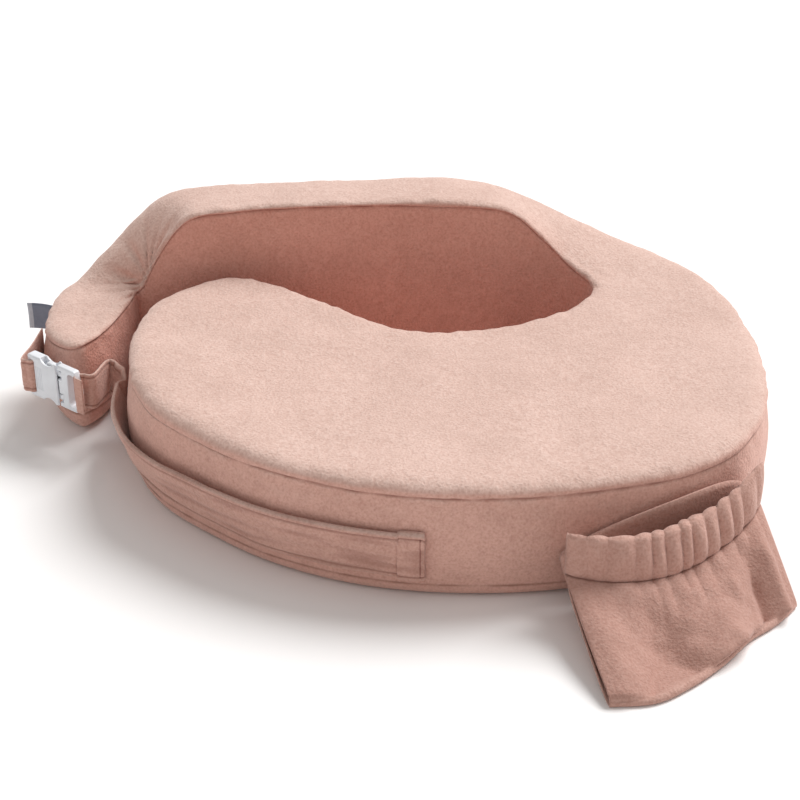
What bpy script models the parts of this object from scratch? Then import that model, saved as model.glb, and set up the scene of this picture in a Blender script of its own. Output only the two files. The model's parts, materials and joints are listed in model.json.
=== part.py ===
"""Wrap-around nursing pillow: a firm C-shaped foam platform with a raised backrest and a short arm.

Metres, +Z up. The backrest is at +Y, the wide nursing platform at -Y, the arm and its buckle at -X.
The pillow rests on z = 0, and its whole box is centred on x = 0, y = 0.
The foam wears a zipped cover of four sewn panels. A wrap strap runs round the front wall to a side
release buckle on the arm, and a gathered pocket hangs on the right of the front wall.
"""
import math

import bmesh
import bpy
from mathutils import Vector

# ---- driving dimensions -------------------------------------------------------------------------
PILLOW_WIDTH = 0.612        # plan size of the foam ring over its cover, left to right
PILLOW_DEPTH = 0.448        # the same, front to back, without the pocket
PLATFORM_HEIGHT = 0.100     # top of the nursing platform
LOBE_RISE = 0.012           # the free end of the platform curls up by this much
BACKREST_HEIGHT = 0.170     # top of the raised back
ARM_HEIGHT = 0.090          # top of the short arm
PANEL = 0.0020              # plush cover with its backing
GAP = 0.0003                # between pieces that touch
OUTER_EDGE = 0.012          # roll of the top edge above the outer seam
INNER_EDGE = 0.005          # tighter roll above the inner seam
FOOT_EDGE = 0.012           # roll of the bottom edge
WALL_BULGE = 0.005          # how far the stuffed walls stand out at mid height
BACKREST_BLUNT = 0.018      # height of the backrest foam's blunt ends
HINGE_GAP = 0.0006          # slit between base and arm, which the foam bends across
ARM_OPENING = 20.0          # degrees the arm bends outwards

STRAP_WIDTH = 0.042
STRAP_THICK = 0.0030        # two layers of the cover fabric
STRAP_FOOT = 0.019          # lower edge of the wrap strap above the floor
STRAP_STAND_OFF = 0.0035    # slack of the strap away from the wall at its free end
STRAP_BREAK = 0.0030        # slit between the wall run and the free run of the strap
END_BOX = 0.018             # folded and stitched end of the strap
END_BOX_LIP = 0.0012        # how far that fold stands out past the strap

BUCKLE_YAW = math.radians(-44.0)
BUCKLE_WIDTH = 0.040
BUCKLE_THICK = 0.0096
BUCKLE_WALL = 0.0018
BUCKLE_LIFT = 0.058         # middle of the buckle above the floor
BUCKLE_CLEAR = 0.0045       # room between the buckle and the arm's end
BUCKLE_SHIFT = 0.0115       # the buckle's mouth lies this far past the middle of the arm's end
SOCKET_LENGTH = 0.036
PLUG_REACH = 0.026          # shoulder of the plug to the end of its strap ring
PRONG_REACH = 0.019         # how far the prongs enter the socket
PRONG_SQUEEZE = 10.0        # degrees
PLUG_FIT = 0.0008           # clearance of the plug in the socket, each side
PLUG_THICK = 0.0068
PLUG_TRAVEL = 0.024
RING_BAR = 0.0036

POCKET_WIDTH = 0.163
POCKET_OUT = 0.130          # how far the slumped pocket reaches from the wall, at the most
POCKET_REACH = (0.977, 1.0, 0.923, 0.815, 0.70, 0.677, 0.654)   # share of that, left to right
POCKET_LIFT = 0.066         # mouth above the floor
POCKET_FLOOR = 0.0010
POCKET_END = 0.62           # height of the mouth at the side seams, as a share of its middle
POCKET_NEAR = 0.012         # the stretch of the pocket that still follows the wall
POCKET_FALL = Vector((0.13, -0.99))
POCKET_STEPS = 12
SIDE_SEAM = 0.0056          # thickness of the bag at its side seams
HEM_TILT = math.radians(18)
POCKET_CLOTH = 0.0016
HEM_WIDTH = 0.034
ELASTIC_WIDTH = 0.012
ELASTIC_THICK = 0.0010

ZIP_LENGTH = 0.200
ZIP_LIFT = 0.045            # middle of the zip above the floor
ZIP_CENTRE_X = -0.030
TAPE_WIDTH = 0.011
TAPE_THICK = 0.0008
TEETH_WIDTH = 0.0042
TEETH_THICK = 0.0016
TOOTH_PITCH = 0.0050
SLIDER_LENGTH = 0.0095
SLIDER_WIDTH = 0.0080
PULL_LENGTH = 0.024
PULL_THICK = 0.0008

TAG_REACH = 0.027
TAG_HEIGHT = 0.025
TAG_THICK = 0.0010
LABEL_WIDTH = 0.032
LABEL_LENGTH = 0.036
LABEL_LIFT = 0.020

# ---- sewing pattern -----------------------------------------------------------------------------
# Drawn at this size and graded to PILLOW_WIDTH and PILLOW_DEPTH. Each row is one rib across the
# ring: its end on the outer seam, its end on the inner seam, and the top's height there, as a share
# of the rise from the platform to the lobe's end, the backrest or the arm.
LOBE = LOBE_RISE
BACK = BACKREST_HEIGHT - PLATFORM_HEIGHT
ARM = ARM_HEIGHT - PLATFORM_HEIGHT
PATTERN_WIDTH = 0.612
PATTERN_DEPTH = 0.448
BASE_RIBS = [
    ((-0.168, 0.124), (-0.132, 0.127), LOBE, 1.0),
    ((-0.199, 0.102), (-0.103, 0.116), LOBE, 0.93),
    ((-0.219, 0.066), (-0.078, 0.094), LOBE, 0.78),
    ((-0.2265, 0.016), (-0.052, 0.071), LOBE, 0.6),
    ((-0.222, -0.034), (-0.028, 0.053), LOBE, 0.4),
    ((-0.203, -0.080), (-0.004, 0.039), LOBE, 0.18),
    ((-0.168, -0.122), (0.020, 0.031), BACK, 0.0),
    ((-0.120, -0.167), (0.042, 0.028), BACK, 0.0),
    ((-0.062, -0.201), (0.062, 0.028), BACK, 0.0),
    ((0.000, -0.220), (0.084, 0.031), BACK, 0.0),
    ((0.070, -0.227), (0.106, 0.038), BACK, 0.0),
    ((0.140, -0.221), (0.128, 0.049), BACK, 0.0),
    ((0.200, -0.205), (0.148, 0.061), BACK, 0.0),
    ((0.247, -0.172), (0.164, 0.074), BACK, 0.0),
    ((0.280, -0.120), (0.175, 0.086), BACK, 0.0),
    ((0.298, -0.055), (0.181, 0.097), BACK, 0.0),
    ((0.304, 0.012), (0.184, 0.107), BACK, 0.0),
    ((0.300, 0.075), (0.184, 0.117), BACK, 0.01),
    ((0.285, 0.128), (0.181, 0.126), BACK, 0.02),
    ((0.254, 0.173), (0.174, 0.134), BACK, 0.07),
    ((0.211, 0.202), (0.162, 0.142), BACK, 0.20),
    ((0.162, 0.215), (0.142, 0.148), BACK, 0.49),
    ((0.110, 0.218), (0.110, 0.151), BACK, 0.85),
    ((0.050, 0.218), (0.050, 0.152), BACK, 0.97),
    ((-0.020, 0.218), (-0.020, 0.152), BACK, 1.0),
    ((-0.090, 0.218), (-0.085, 0.152), BACK, 1.0),
    ((-0.150, 0.218), (-0.140, 0.151), BACK, 0.97),
    ((-0.200, 0.214), (-0.178, 0.150), BACK, 0.88),
    ((-0.244, 0.202), (-0.205, 0.149), BACK, 0.40),
    ((-0.278, 0.182), (-0.220, 0.1485), BACK, 0.0),
    ((-0.295, 0.163), (-0.228, 0.148), ARM, 0.6),
]
ARM_RIBS = [
    ((-0.295, 0.163), (-0.228, 0.148), ARM, 0.6),
    ((-0.303, 0.137), (-0.235, 0.124), ARM, 0.8),
    ((-0.306, 0.113), (-0.244, 0.097), ARM, 1.0),
    ((-0.305, 0.092), (-0.256, 0.069), ARM, 1.0),
    ((-0.302, 0.082), (-0.2685, 0.044), ARM, 1.0),
]
LOBE_END_BULGE = 0.005      # rounding of the two free ends past their last rib
ARM_END_BULGE = 0.005
BASE_STEPS = 45             # facets along the base
ARM_STEPS = 8
ACROSS = 4                  # facets across the ring

# where things sit, counted in ribs along the base or the arm
STRAP_END_RIB = 8.98        # sewn end of the wrap strap
STRAP_FREE_RIB = 2.67       # where the strap leaves the wall for the buckle
POCKET_MID_RIB = 11.62
ARM_STRAP_RIB = 2.2
TAG_RIB = 3.55

COLOURS = {
    "cover": (0.66, 0.40, 0.34, 1.0),
    "cover_inside": (0.60, 0.34, 0.29, 1.0),
    "strap": (0.64, 0.38, 0.32, 1.0),
    "foam": (0.90, 0.86, 0.72, 1.0),
    "buckle": (0.86, 0.88, 0.90, 1.0),
    "tag": (0.40, 0.43, 0.49, 1.0),
    "label": (0.92, 0.92, 0.90, 1.0),
    "zip_tape": (0.60, 0.36, 0.31, 1.0),
    "zip_teeth": (0.72, 0.46, 0.40, 1.0),
    "elastic": (0.93, 0.92, 0.90, 1.0),
}
ROUGHNESS = {"buckle": 0.35, "zip_teeth": 0.40, "label": 0.6, "tag": 0.7}


# ---- scene and object helpers -------------------------------------------------------------------
def clear_scene():
    for obj in list(bpy.data.objects):
        bpy.data.objects.remove(obj, do_unlink=True)


def make_material(slot):
    mat = bpy.data.materials.get(slot) or bpy.data.materials.new(slot)
    mat.use_nodes = True
    shader = mat.node_tree.nodes["Principled BSDF"]
    shader.inputs["Base Color"].default_value = COLOURS[slot]
    shader.inputs["Roughness"].default_value = ROUGHNESS.get(slot, 0.9)
    shader.inputs["Metallic"].default_value = 0.0
    mat.diffuse_color = COLOURS[slot]
    return mat


def make_empty(name, place=(0.0, 0.0, 0.0), parent=None, turn=0.0):
    empty = bpy.data.objects.new(name, None)
    empty.location = place
    empty.rotation_euler = (0.0, 0.0, turn)
    empty.parent = parent
    bpy.context.scene.collection.objects.link(empty)
    return empty


def add_object(name, bm, slot, parent, smooth=True):
    """Close a bmesh into a named object under its parent, with its faces pointing out."""
    bmesh.ops.remove_doubles(bm, verts=bm.verts, dist=1e-6)
    bmesh.ops.recalc_face_normals(bm, faces=bm.faces)
    mesh = bpy.data.meshes.new(name)
    bm.to_mesh(mesh)
    bm.free()
    if smooth:
        mesh.shade_smooth()
        mesh.set_sharp_from_angle(angle=math.radians(40))
    mesh.materials.append(make_material(slot))
    obj = bpy.data.objects.new(name, mesh)
    obj.parent = parent
    bpy.context.scene.collection.objects.link(obj)
    return obj


# ---- the ring: ribs, wall and rim ----------------------------------------------------------------
def smooth_value(values, t):
    """Catmull-Rom value at t through evenly counted values (numbers or vectors)."""
    last = len(values) - 1
    i = min(int(t), last - 1)
    f = t - i
    p1 = values[i]
    p2 = values[i + 1]
    p0 = values[i - 1] if i > 0 else p1 * 2 - p2
    p3 = values[i + 2] if i + 2 <= last else p2 * 2 - p1
    return 0.5 * (2 * p1 + (p2 - p0) * f + (2 * p0 - 5 * p1 + 4 * p2 - p3) * f ** 2
                  + (3 * p1 - p0 - 3 * p2 + p3) * f ** 3)


class Ring:
    """One stretch of the ring, from its free end to the slit: ribs give its plan and its height."""

    def __init__(self, ribs, free_end_first, end_bulge, steps):
        rows = ribs if free_end_first else ribs[::-1]
        grade_x = PILLOW_WIDTH / PATTERN_WIDTH
        grade_y = PILLOW_DEPTH / PATTERN_DEPTH
        self.outer = [Vector((o[0] * grade_x, o[1] * grade_y)) for o, i, rise, share in rows]
        self.inner = [Vector((i[0] * grade_x, i[1] * grade_y)) for o, i, rise, share in rows]
        self.top = [PLATFORM_HEIGHT + rise * share for o, i, rise, share in rows]
        self.seat = [PLATFORM_HEIGHT + (0.0 if rise is BACK else rise * share) for o, i, rise, share in rows]
        self.last = len(rows) - 1
        self.steps = steps
        self.end_bulge = end_bulge
        self.path = self.make_path()

    def rib(self, t):
        return smooth_value(self.outer, t), smooth_value(self.inner, t), smooth_value(self.top, t)

    def stations(self):
        return [self.last * k / self.steps for k in range(self.steps + 1)]

    def walk(self, t, distance):
        """Rib reached by going this far along the outer seam from rib t."""
        step = 0.004 if distance > 0 else -0.004
        here = smooth_value(self.outer, t)
        gone = 0.0
        while gone < abs(distance):
            t += step
            there = smooth_value(self.outer, t)
            gone += (there - here).length
            here = there
        return t

    def make_path(self):
        """Seam line from the slit along the outer side, round the free end, back to the slit.

        Each point is (xy, inward direction, top height, edge roll)."""
        ribs = [self.rib(t) for t in self.stations()]
        points = [(o, top, OUTER_EDGE) for o, i, top in reversed(ribs)]
        first_o, first_i, first_top = ribs[0]
        chord = first_i - first_o
        out = (first_o + first_i - ribs[2][0] - ribs[2][1]).normalized()
        for k in range(1, ACROSS):
            share = k / ACROSS
            bulge = out * self.end_bulge * math.sin(math.pi * share)
            roll = OUTER_EDGE + (INNER_EDGE - OUTER_EDGE) * share
            points.append((first_o + chord * share + bulge, first_top, roll))
        points += [(i, top, INNER_EDGE) for o, i, top in ribs]
        path = []
        for k, (xy, top, roll) in enumerate(points):
            before = points[max(k - 1, 0)][0]
            after = points[min(k + 1, len(points) - 1)][0]
            along = (after - before).normalized()
            inward = Vector((-along.y, along.x))
            if k == 0:
                inward = (points[-1][0] - xy).normalized()
            if k == len(points) - 1:
                inward = (points[0][0] - xy).normalized()
            path.append((xy, inward, top, roll))
        middle = (ribs[1][0] + ribs[1][1]) / 2
        probe = path[self.steps]
        if (middle - probe[0]).dot(probe[1]) < 0:
            path = [(xy, -inward, top, roll) for xy, inward, top, roll in path]
            path[0] = (path[0][0], -path[0][1], path[0][2], path[0][3])
            path[-1] = (path[-1][0], -path[-1][1], path[-1][2], path[-1][3])
        return path

    def wall_frame(self, t, side="outer"):
        """Seam point and outward direction of the outer or inner wall at rib t."""
        step = 0.05
        rail = self.outer if side == "outer" else self.inner
        other = self.inner if side == "outer" else self.outer
        here = smooth_value(rail, t)
        along = smooth_value(rail, min(t + step, self.last)) - smooth_value(rail, max(t - step, 0.0))
        out = Vector((along.y, -along.x)).normalized()
        if (smooth_value(other, t) - here).dot(out) > 0:
            out = -out
        return here, out

    def wall_point(self, t, z, stand_off):
        """Point on the cover's outer wall at rib t and height z, moved out by stand_off."""
        here, out = self.wall_frame(t)
        top = smooth_value(self.top, t)
        bulge = wall_inset(z, top, OUTER_EDGE)
        place = here + out * (stand_off - bulge)
        return Vector((place.x, place.y, z))


def wall_inset(z, top, roll):
    """How far the wall lies inside the seam line at height z: negative where it bulges out."""
    low = FOOT_EDGE
    high = top - roll
    share = min(max((z - low) / (high - low), 0.0), 1.0)
    return -WALL_BULGE * math.sin(math.pi * share)


def rim_profile(top, roll):
    """Top edge from the seam up and over: (inset, z, normal inset, normal z)."""
    return [
        (0.0, top - roll, 1.0, 0.0),
        (0.12 * roll, top - 0.5 * roll, 0.95, 0.31),
        (0.45 * roll, top - 0.14 * roll, 0.62, 0.78),
        (1.15 * roll, top, 0.0, 1.0),
    ]


def foot_profile(roll):
    """Bottom edge from the lower seam down and under, as tight as the top edge above it."""
    return [
        (0.0, FOOT_EDGE, 1.0, 0.0),
        (0.15 * roll, 0.33 * FOOT_EDGE, 0.75, -0.66),
        (0.7 * roll, 0.0, 0.0, -1.0),
    ]


def wall_profile(top, roll, rows=4):
    """Side wall from the lower seam to the upper seam."""
    result = []
    for k in range(rows + 1):
        z = FOOT_EDGE + (top - roll - FOOT_EDGE) * k / rows
        result.append((wall_inset(z, top, roll), z, 1.0, 0.0))
    return result


def at(point, inset, z):
    xy, inward, top, roll = point
    place = xy + inward * inset
    return Vector((place.x, place.y, z))


def thicken(bm, outside, inside, faces):
    """Make a closed sheet from two matching layers of points and the faces between them."""
    top = {key: bm.verts.new(co) for key, co in outside.items()}
    low = {key: bm.verts.new(co) for key, co in inside.items()}
    edges = {}
    for face in faces:
        bm.faces.new([top[key] for key in face])
        bm.faces.new([low[key] for key in reversed(face)])
        for a, b in zip(face, face[1:] + face[:1]):
            edges[(a, b)] = edges.get((a, b), 0) + 1
    for a, b in edges:
        if (b, a) not in edges:
            bm.faces.new([top[a], top[b], low[b], low[a]])


def ladder_faces(steps, name):
    """Faces across the ring between the two sides of a path, named by row and column."""
    faces = []
    for row in range(steps):
        for col in range(ACROSS):
            faces.append([(name, row, col), (name, row, col + 1),
                          (name, row + 1, col + 1), (name, row + 1, col)])
    return faces


def capped_sheet(ring, profile_of):
    """Panel that closes the top or the bottom: its rolled rim and the flat inside it."""
    path = ring.path
    count = len(path)
    outside = {}
    inside = {}
    for p, point in enumerate(path):
        for r, (inset, z, n_in, n_z) in enumerate(profile_of(point)):
            outside[("rim", p, r)] = at(point, inset, z)
            inside[("rim", p, r)] = at(point, inset + n_in * PANEL, z - n_z * PANEL)
    rows = len(profile_of(path[0]))
    faces = []
    for p in range(count - 1):
        for r in range(rows - 1):
            faces.append([("rim", p, r), ("rim", p + 1, r), ("rim", p + 1, r + 1), ("rim", p, r + 1)])
    last = rows - 1
    alias = {}
    for row in range(ring.steps + 1):
        left = row
        right = count - 1 - row
        for col in range(ACROSS + 1):
            key = ("flat", row, col)
            if row == ring.steps:
                alias[key] = ("rim", left + col, last)
                continue
            if col in (0, ACROSS):
                alias[key] = ("rim", left if col == 0 else right, last)
                continue
            share = col / ACROSS
            for layer in (outside, inside):
                a = layer[("rim", left, last)]
                b = layer[("rim", right, last)]
                layer[key] = a.lerp(b, share)
    for face in ladder_faces(ring.steps, "flat"):
        faces.append([alias.get(key, key) for key in reversed(face)])
    bm = bmesh.new()
    thicken(bm, outside, inside, faces)
    return bm


def band_sheet(ring, first, last, trim_first, trim_last):
    """Side band between the two seams, for path points first to last."""
    outside = {}
    inside = {}
    faces = []
    rows = 0
    for p in range(first, last + 1):
        point = ring.path[p]
        profile = wall_profile(point[2], point[3])
        rows = len(profile)
        slide = Vector((0.0, 0.0))
        if p == first and trim_first:
            slide = (ring.path[p + 1][0] - point[0]).normalized() * GAP
        if p == last and trim_last:
            slide = (ring.path[p - 1][0] - point[0]).normalized() * GAP
        for r, (inset, z, n_in, n_z) in enumerate(profile):
            z = z + GAP if r == 0 else z
            z = z - GAP if r == rows - 1 else z
            move = Vector((slide.x, slide.y, 0.0))
            outside[(p, r)] = at(point, inset, z) + move
            inside[(p, r)] = at(point, inset + PANEL, z) + move
    for p in range(first, last):
        for r in range(rows - 1):
            faces.append([(p, r), (p + 1, r), (p + 1, r + 1), (p, r + 1)])
    bm = bmesh.new()
    thicken(bm, outside, inside, faces)
    return bm


def foam_solid(ring):
    """Foam under the cover: the ring's shape drawn in by the cover's thickness, flat under the back."""
    skin = PANEL + GAP
    bm = bmesh.new()
    path = ring.path
    count = len(path)
    seats = [min(smooth_value(ring.seat, t), smooth_value(ring.top, t)) for t in ring.stations()]
    seats = seats[::-1] + [seats[0]] * (ACROSS - 1) + seats

    def profile(point, top):
        roll = point[3]
        rows = [(0.7 * roll + 0.7 * skin, skin), (skin, FOOT_EDGE + 0.5 * skin)]
        for z in (0.35 * top, 0.65 * top, top - roll - 0.4 * skin):
            rows.append((wall_inset(z, point[2], roll) + skin + 7 * GAP, z))
        rows.append((1.25 * roll + 0.6 * skin, top - skin - 6 * GAP))
        return rows

    rings = []
    for point, seat in zip(path, seats):
        rings.append([bm.verts.new(at(point, inset, z)) for inset, z in profile(point, seat)])
    rows = len(rings[0])
    for p in range(count - 1):
        for r in range(rows - 1):
            bm.faces.new([rings[p][r], rings[p + 1][r], rings[p + 1][r + 1], rings[p][r + 1]])
    for r in range(rows - 1):
        bm.faces.new([rings[-1][r], rings[0][r], rings[0][r + 1], rings[-1][r + 1]])
    for level in (0, rows - 1):
        grid = []
        for row in range(ring.steps + 1):
            a = rings[row][level]
            b = rings[count - 1 - row][level]
            if row == ring.steps:
                grid.append([rings[row + col][level] for col in range(ACROSS + 1)])
            elif row == 0:
                grid.append([a, b])
            else:
                middle = [bm.verts.new(a.co.lerp(b.co, c / ACROSS)) for c in range(1, ACROSS)]
                grid.append([a] + middle + [b])
        bm.faces.new(grid[0] + grid[1][::-1])
        for low, high in zip(grid[1:], grid[2:]):
            for c in range(ACROSS):
                bm.faces.new([low[c], low[c + 1], high[c + 1], high[c]])
    return bm


def backrest_foam_solid(ring):
    """Raised back: a block on the platform foam, with sloping shoulders."""
    skin = PANEL + GAP
    bottom = PLATFORM_HEIGHT - skin
    bm = bmesh.new()
    sections = []
    for row in range(ring.steps + 1):
        outer = ring.path[row]
        inner = ring.path[-1 - row]
        top = outer[2]
        if top < PLATFORM_HEIGHT + BACKREST_BLUNT:
            continue
        side = skin + 4 * GAP
        high = top - skin - 3 * GAP
        first = at(outer, 1.25 * OUTER_EDGE, high)
        last = at(inner, 1.25 * INNER_EDGE, high)
        shape = [at(outer, side, bottom), at(outer, side, top - OUTER_EDGE - skin)]
        shape += [first.lerp(last, col / ACROSS) for col in range(ACROSS + 1)]
        shape += [at(inner, side, top - INNER_EDGE - skin), at(inner, side, bottom)]
        sections.append([bm.verts.new(p) for p in shape])
    for a, b in zip(sections, sections[1:]):
        for k in range(len(a)):
            n = (k + 1) % len(a)
            bm.faces.new([a[k], a[n], b[n], b[k]])
    bm.faces.new(sections[0])
    bm.faces.new(sections[-1][::-1])
    return bm


# ---- flat goods ----------------------------------------------------------------------------------
def ribbon(points, width, thick):
    """Upright ribbon along centre points (x, y, z of its middle), closed all round."""
    bm = bmesh.new()
    sections = []
    for k, point in enumerate(points):
        before = Vector(points[max(k - 1, 0)][:2])
        after = Vector(points[min(k + 1, len(points) - 1)][:2])
        along = (after - before).normalized()
        side = Vector((-along.y, along.x)) * thick / 2
        x, y, z = point
        corners = [(x + side.x, y + side.y, z - width / 2), (x - side.x, y - side.y, z - width / 2),
                   (x - side.x, y - side.y, z + width / 2), (x + side.x, y + side.y, z + width / 2)]
        sections.append([bm.verts.new(c) for c in corners])
    for a, b in zip(sections, sections[1:]):
        for k in range(4):
            n = (k + 1) % 4
            bm.faces.new([a[k], a[n], b[n], b[k]])
    bm.faces.new(sections[0][::-1])
    bm.faces.new(sections[-1])
    return bm


def smooth_route(points, count):
    """Evenly counted points on the smooth curve through the given ones."""
    vectors = [Vector(p) for p in points]
    last = len(vectors) - 1
    return [tuple(smooth_value(vectors, last * k / count)) for k in range(count + 1)]


def wall_sheet(ring, ts, heights, stand_off_of, thick):
    """Sheet lying on the outer wall at ribs ts and heights, with its own stand-off at each rib."""
    outside = {}
    inside = {}
    faces = []
    for p, t in enumerate(ts):
        for r, z in enumerate(heights):
            off = stand_off_of(t)
            inside[(p, r)] = ring.wall_point(t, z, off)
            outside[(p, r)] = ring.wall_point(t, z, off + thick)
    for p in range(len(ts) - 1):
        for r in range(len(heights) - 1):
            faces.append([(p, r), (p + 1, r), (p + 1, r + 1), (p, r + 1)])
    bm = bmesh.new()
    thicken(bm, outside, inside, faces)
    return bm


def rounded_box(bm, low, high, edge, segments=1):
    """Box between two corners with bevelled edges, added to bm."""
    made = bmesh.ops.create_cube(bm, size=1.0)
    size = [h - l for l, h in zip(low, high)]
    middle = [(h + l) / 2 for l, h in zip(low, high)]
    bmesh.ops.scale(bm, vec=size, verts=made["verts"])
    bmesh.ops.translate(bm, vec=middle, verts=made["verts"])
    if edge > 0:
        edges = list({e for v in made["verts"] for e in v.link_edges})
        bmesh.ops.bevel(bm, geom=edges, offset=edge, segments=segments, affect="EDGES")


def cut_with(obj, name, low, high, mode="DIFFERENCE", edge=0.0):
    """Cut a box out of an object (or add it), both in the same parent's frame."""
    bm = bmesh.new()
    rounded_box(bm, low, high, edge)
    mesh = bpy.data.meshes.new(name)
    bm.to_mesh(mesh)
    bm.free()
    cutter = bpy.data.objects.new(name, mesh)
    cutter.parent = obj.parent
    cutter.hide_render = True
    cutter.display_type = "WIRE"
    bpy.context.scene.collection.objects.link(cutter)
    step = obj.modifiers.new(name, "BOOLEAN")
    step.operation = mode
    step.solver = "EXACT"
    step.object = cutter


# ---- parts ---------------------------------------------------------------------------------------
def make_cover(ring, parent, prefix, inner_start):
    """Four panels of the cover on one stretch of the ring."""
    add_object(prefix + "_top_panel", capped_sheet(ring, lambda p: rim_profile(p[2], p[3])), "cover", parent)
    add_object(prefix + "_underside_panel", capped_sheet(ring, lambda p: foot_profile(p[3])), "cover", parent)
    last = len(ring.path) - 1
    add_object(prefix + "_outer_band", band_sheet(ring, 0, inner_start, False, True), "cover", parent)
    add_object(prefix + "_inner_band", band_sheet(ring, inner_start, last, True, False),
               "cover_inside", parent)


def make_base(base, parent):
    make_cover(base, parent, "cover", base.steps + ACROSS)
    add_object("platform_foam", foam_solid(base), "foam", parent)
    add_object("backrest_foam", backrest_foam_solid(base), "foam", parent)


def make_wrap_strap(base, parent):
    """Self-fabric strap round the front wall, and its folded, stitched end."""
    box_rib = base.walk(STRAP_END_RIB, -END_BOX)
    ribs = [t for t in base.stations() if STRAP_FREE_RIB + 0.2 < t < box_rib - 0.2]
    ribs = [STRAP_FREE_RIB] + ribs + [box_rib]

    def slack(t):
        share = (box_rib - t) / (box_rib - STRAP_FREE_RIB)
        return 2 * GAP + STRAP_STAND_OFF * share ** 2

    rows = 4
    heights = [STRAP_FOOT + STRAP_WIDTH * k / rows for k in range(rows + 1)]
    add_object("wrap_strap", wall_sheet(base, ribs, heights, slack, STRAP_THICK), "strap", parent)
    heights = [STRAP_FOOT - END_BOX_LIP + (STRAP_WIDTH + 2 * END_BOX_LIP) * k / rows for k in range(rows + 1)]
    ribs = [base.walk(box_rib, 2 * GAP), base.walk(box_rib, END_BOX / 2), STRAP_END_RIB]
    add_object("strap_end_box", wall_sheet(base, ribs, heights, lambda t: 2 * GAP, STRAP_THICK + END_BOX_LIP),
               "strap", parent)
    return base.wall_point(STRAP_FREE_RIB, STRAP_FOOT + STRAP_WIDTH / 2, slack(STRAP_FREE_RIB) + STRAP_THICK / 2)


def buckle_place(arm):
    """Middle of the buckle's mouth in plan: in front of the arm's end panel."""
    outer = arm.outer[0]
    inner = arm.inner[0]
    middle = (outer + inner) / 2
    chord = (inner - outer).normalized()
    out = Vector((chord.y, -chord.x))
    if (middle - (arm.outer[2] + arm.inner[2]) / 2).dot(out) < 0:
        out = -out
    along = Vector((math.cos(BUCKLE_YAW), math.sin(BUCKLE_YAW)))
    clear = ARM_END_BULGE + WALL_BULGE + BUCKLE_THICK / 2 + BUCKLE_CLEAR
    return middle + out * clear + along * BUCKLE_SHIFT


def make_buckle(arm, arm_root):
    """Side release buckle. Its frame: x along the pull, y to the inside, z up."""
    place = buckle_place(arm)
    frame = make_empty("buckle_frame", (place.x, place.y, BUCKLE_LIFT), arm_root, BUCKLE_YAW)
    half = BUCKLE_WIDTH / 2
    thick = BUCKLE_THICK / 2
    hollow = thick - BUCKLE_WALL
    mouth = 0.004
    back = mouth - SOCKET_LENGTH
    bar = 0.0032
    slot = 0.0052
    bm = bmesh.new()
    rounded_box(bm, (back, -thick, -half), (mouth, thick, half), 0.0016, 2)
    socket = add_object("buckle_socket", bm, "buckle", frame)
    cavity_back = back + 2 * bar + slot
    cut_with(socket, "cut_socket_cavity", (cavity_back, -hollow, -half - 0.01),
             (mouth + 0.01, hollow, half + 0.01))
    cut_with(socket, "cut_socket_slot", (back + bar, -thick - 0.01, -half + 0.0045),
             (back + bar + slot, thick + 0.01, half - 0.0045))
    plug_root = make_empty("plug_root", (0.0, 0.0, 0.0), frame)
    plug_half = hollow - PLUG_FIT
    bm = bmesh.new()
    shoulder = mouth + 0.0006
    rounded_box(bm, (shoulder, -PLUG_THICK / 2, -half), (shoulder + PLUG_REACH, PLUG_THICK / 2, half), 0.0014, 2)
    plug = add_object("buckle_plug", bm, "buckle", plug_root)
    ring_end = shoulder + PLUG_REACH
    cut_with(plug, "cut_plug_ring", (ring_end - RING_BAR - 0.0095, -0.02, -half + 0.0045),
             (ring_end - RING_BAR, 0.02, half - 0.0045))
    root_depth = 0.0052
    for sign in (1, -1):
        low = sorted((sign * (half - 0.0132), sign * (half - 0.0044)))
        cut_with(plug, "cut_prong_seat_%s" % ("upper" if sign > 0 else "lower"),
                 (shoulder - 0.01, -0.02, low[0]), (shoulder + root_depth, 0.02, low[1]))
    cut_with(plug, "add_tongue", (shoulder - PRONG_REACH + 0.002, -plug_half * 0.7, -0.0035),
             (shoulder + 0.002, plug_half * 0.7, 0.0035), "UNION")
    for sign, word in ((1, "upper"), (-1, "lower")):
        pivot = Vector((shoulder + root_depth - 0.0012 - 0.0016, 0.0, sign * (half - 0.0088)))
        prong_root = make_empty("prong_%s_root" % word, pivot, plug_root)
        make_prong(word, sign, prong_root, plug_half, shoulder)
    return frame, plug_root, place


def make_prong(word, sign, parent, plug_half, shoulder):
    """Sprung finger: a round root in the plug, a slim arm, and a head at the socket's open side."""
    reach = PRONG_REACH
    pivot_x = 0.0024
    outline = [(pivot_x + 0.0008 - 0.0020, -0.0026), (pivot_x - 0.0020 + 0.0016, 0.0), (-0.0004, 0.0026),
               (-0.0065, 0.0026), (-0.0090, 0.0066), (-0.0165, 0.0062), (-reach - 0.0015, 0.0010),
               (-reach - 0.0005, -0.0012), (-0.0125, -0.0006), (-0.0060, -0.0024)]
    bm = bmesh.new()
    low = [bm.verts.new((x, -plug_half, sign * z)) for x, z in outline]
    high = [bm.verts.new((x, plug_half, sign * z)) for x, z in outline]
    bm.faces.new(low)
    bm.faces.new(high[::-1])
    for k in range(len(outline)):
        n = (k + 1) % len(outline)
        bm.faces.new([low[k], low[n], high[n], high[k]])
    add_object("buckle_prong_%s" % word, bm, "buckle", parent)


def make_arm(arm, parent):
    make_cover(arm, parent, "arm", arm.steps + ACROSS)
    add_object("arm_foam", foam_solid(arm), "foam", parent)


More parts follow.
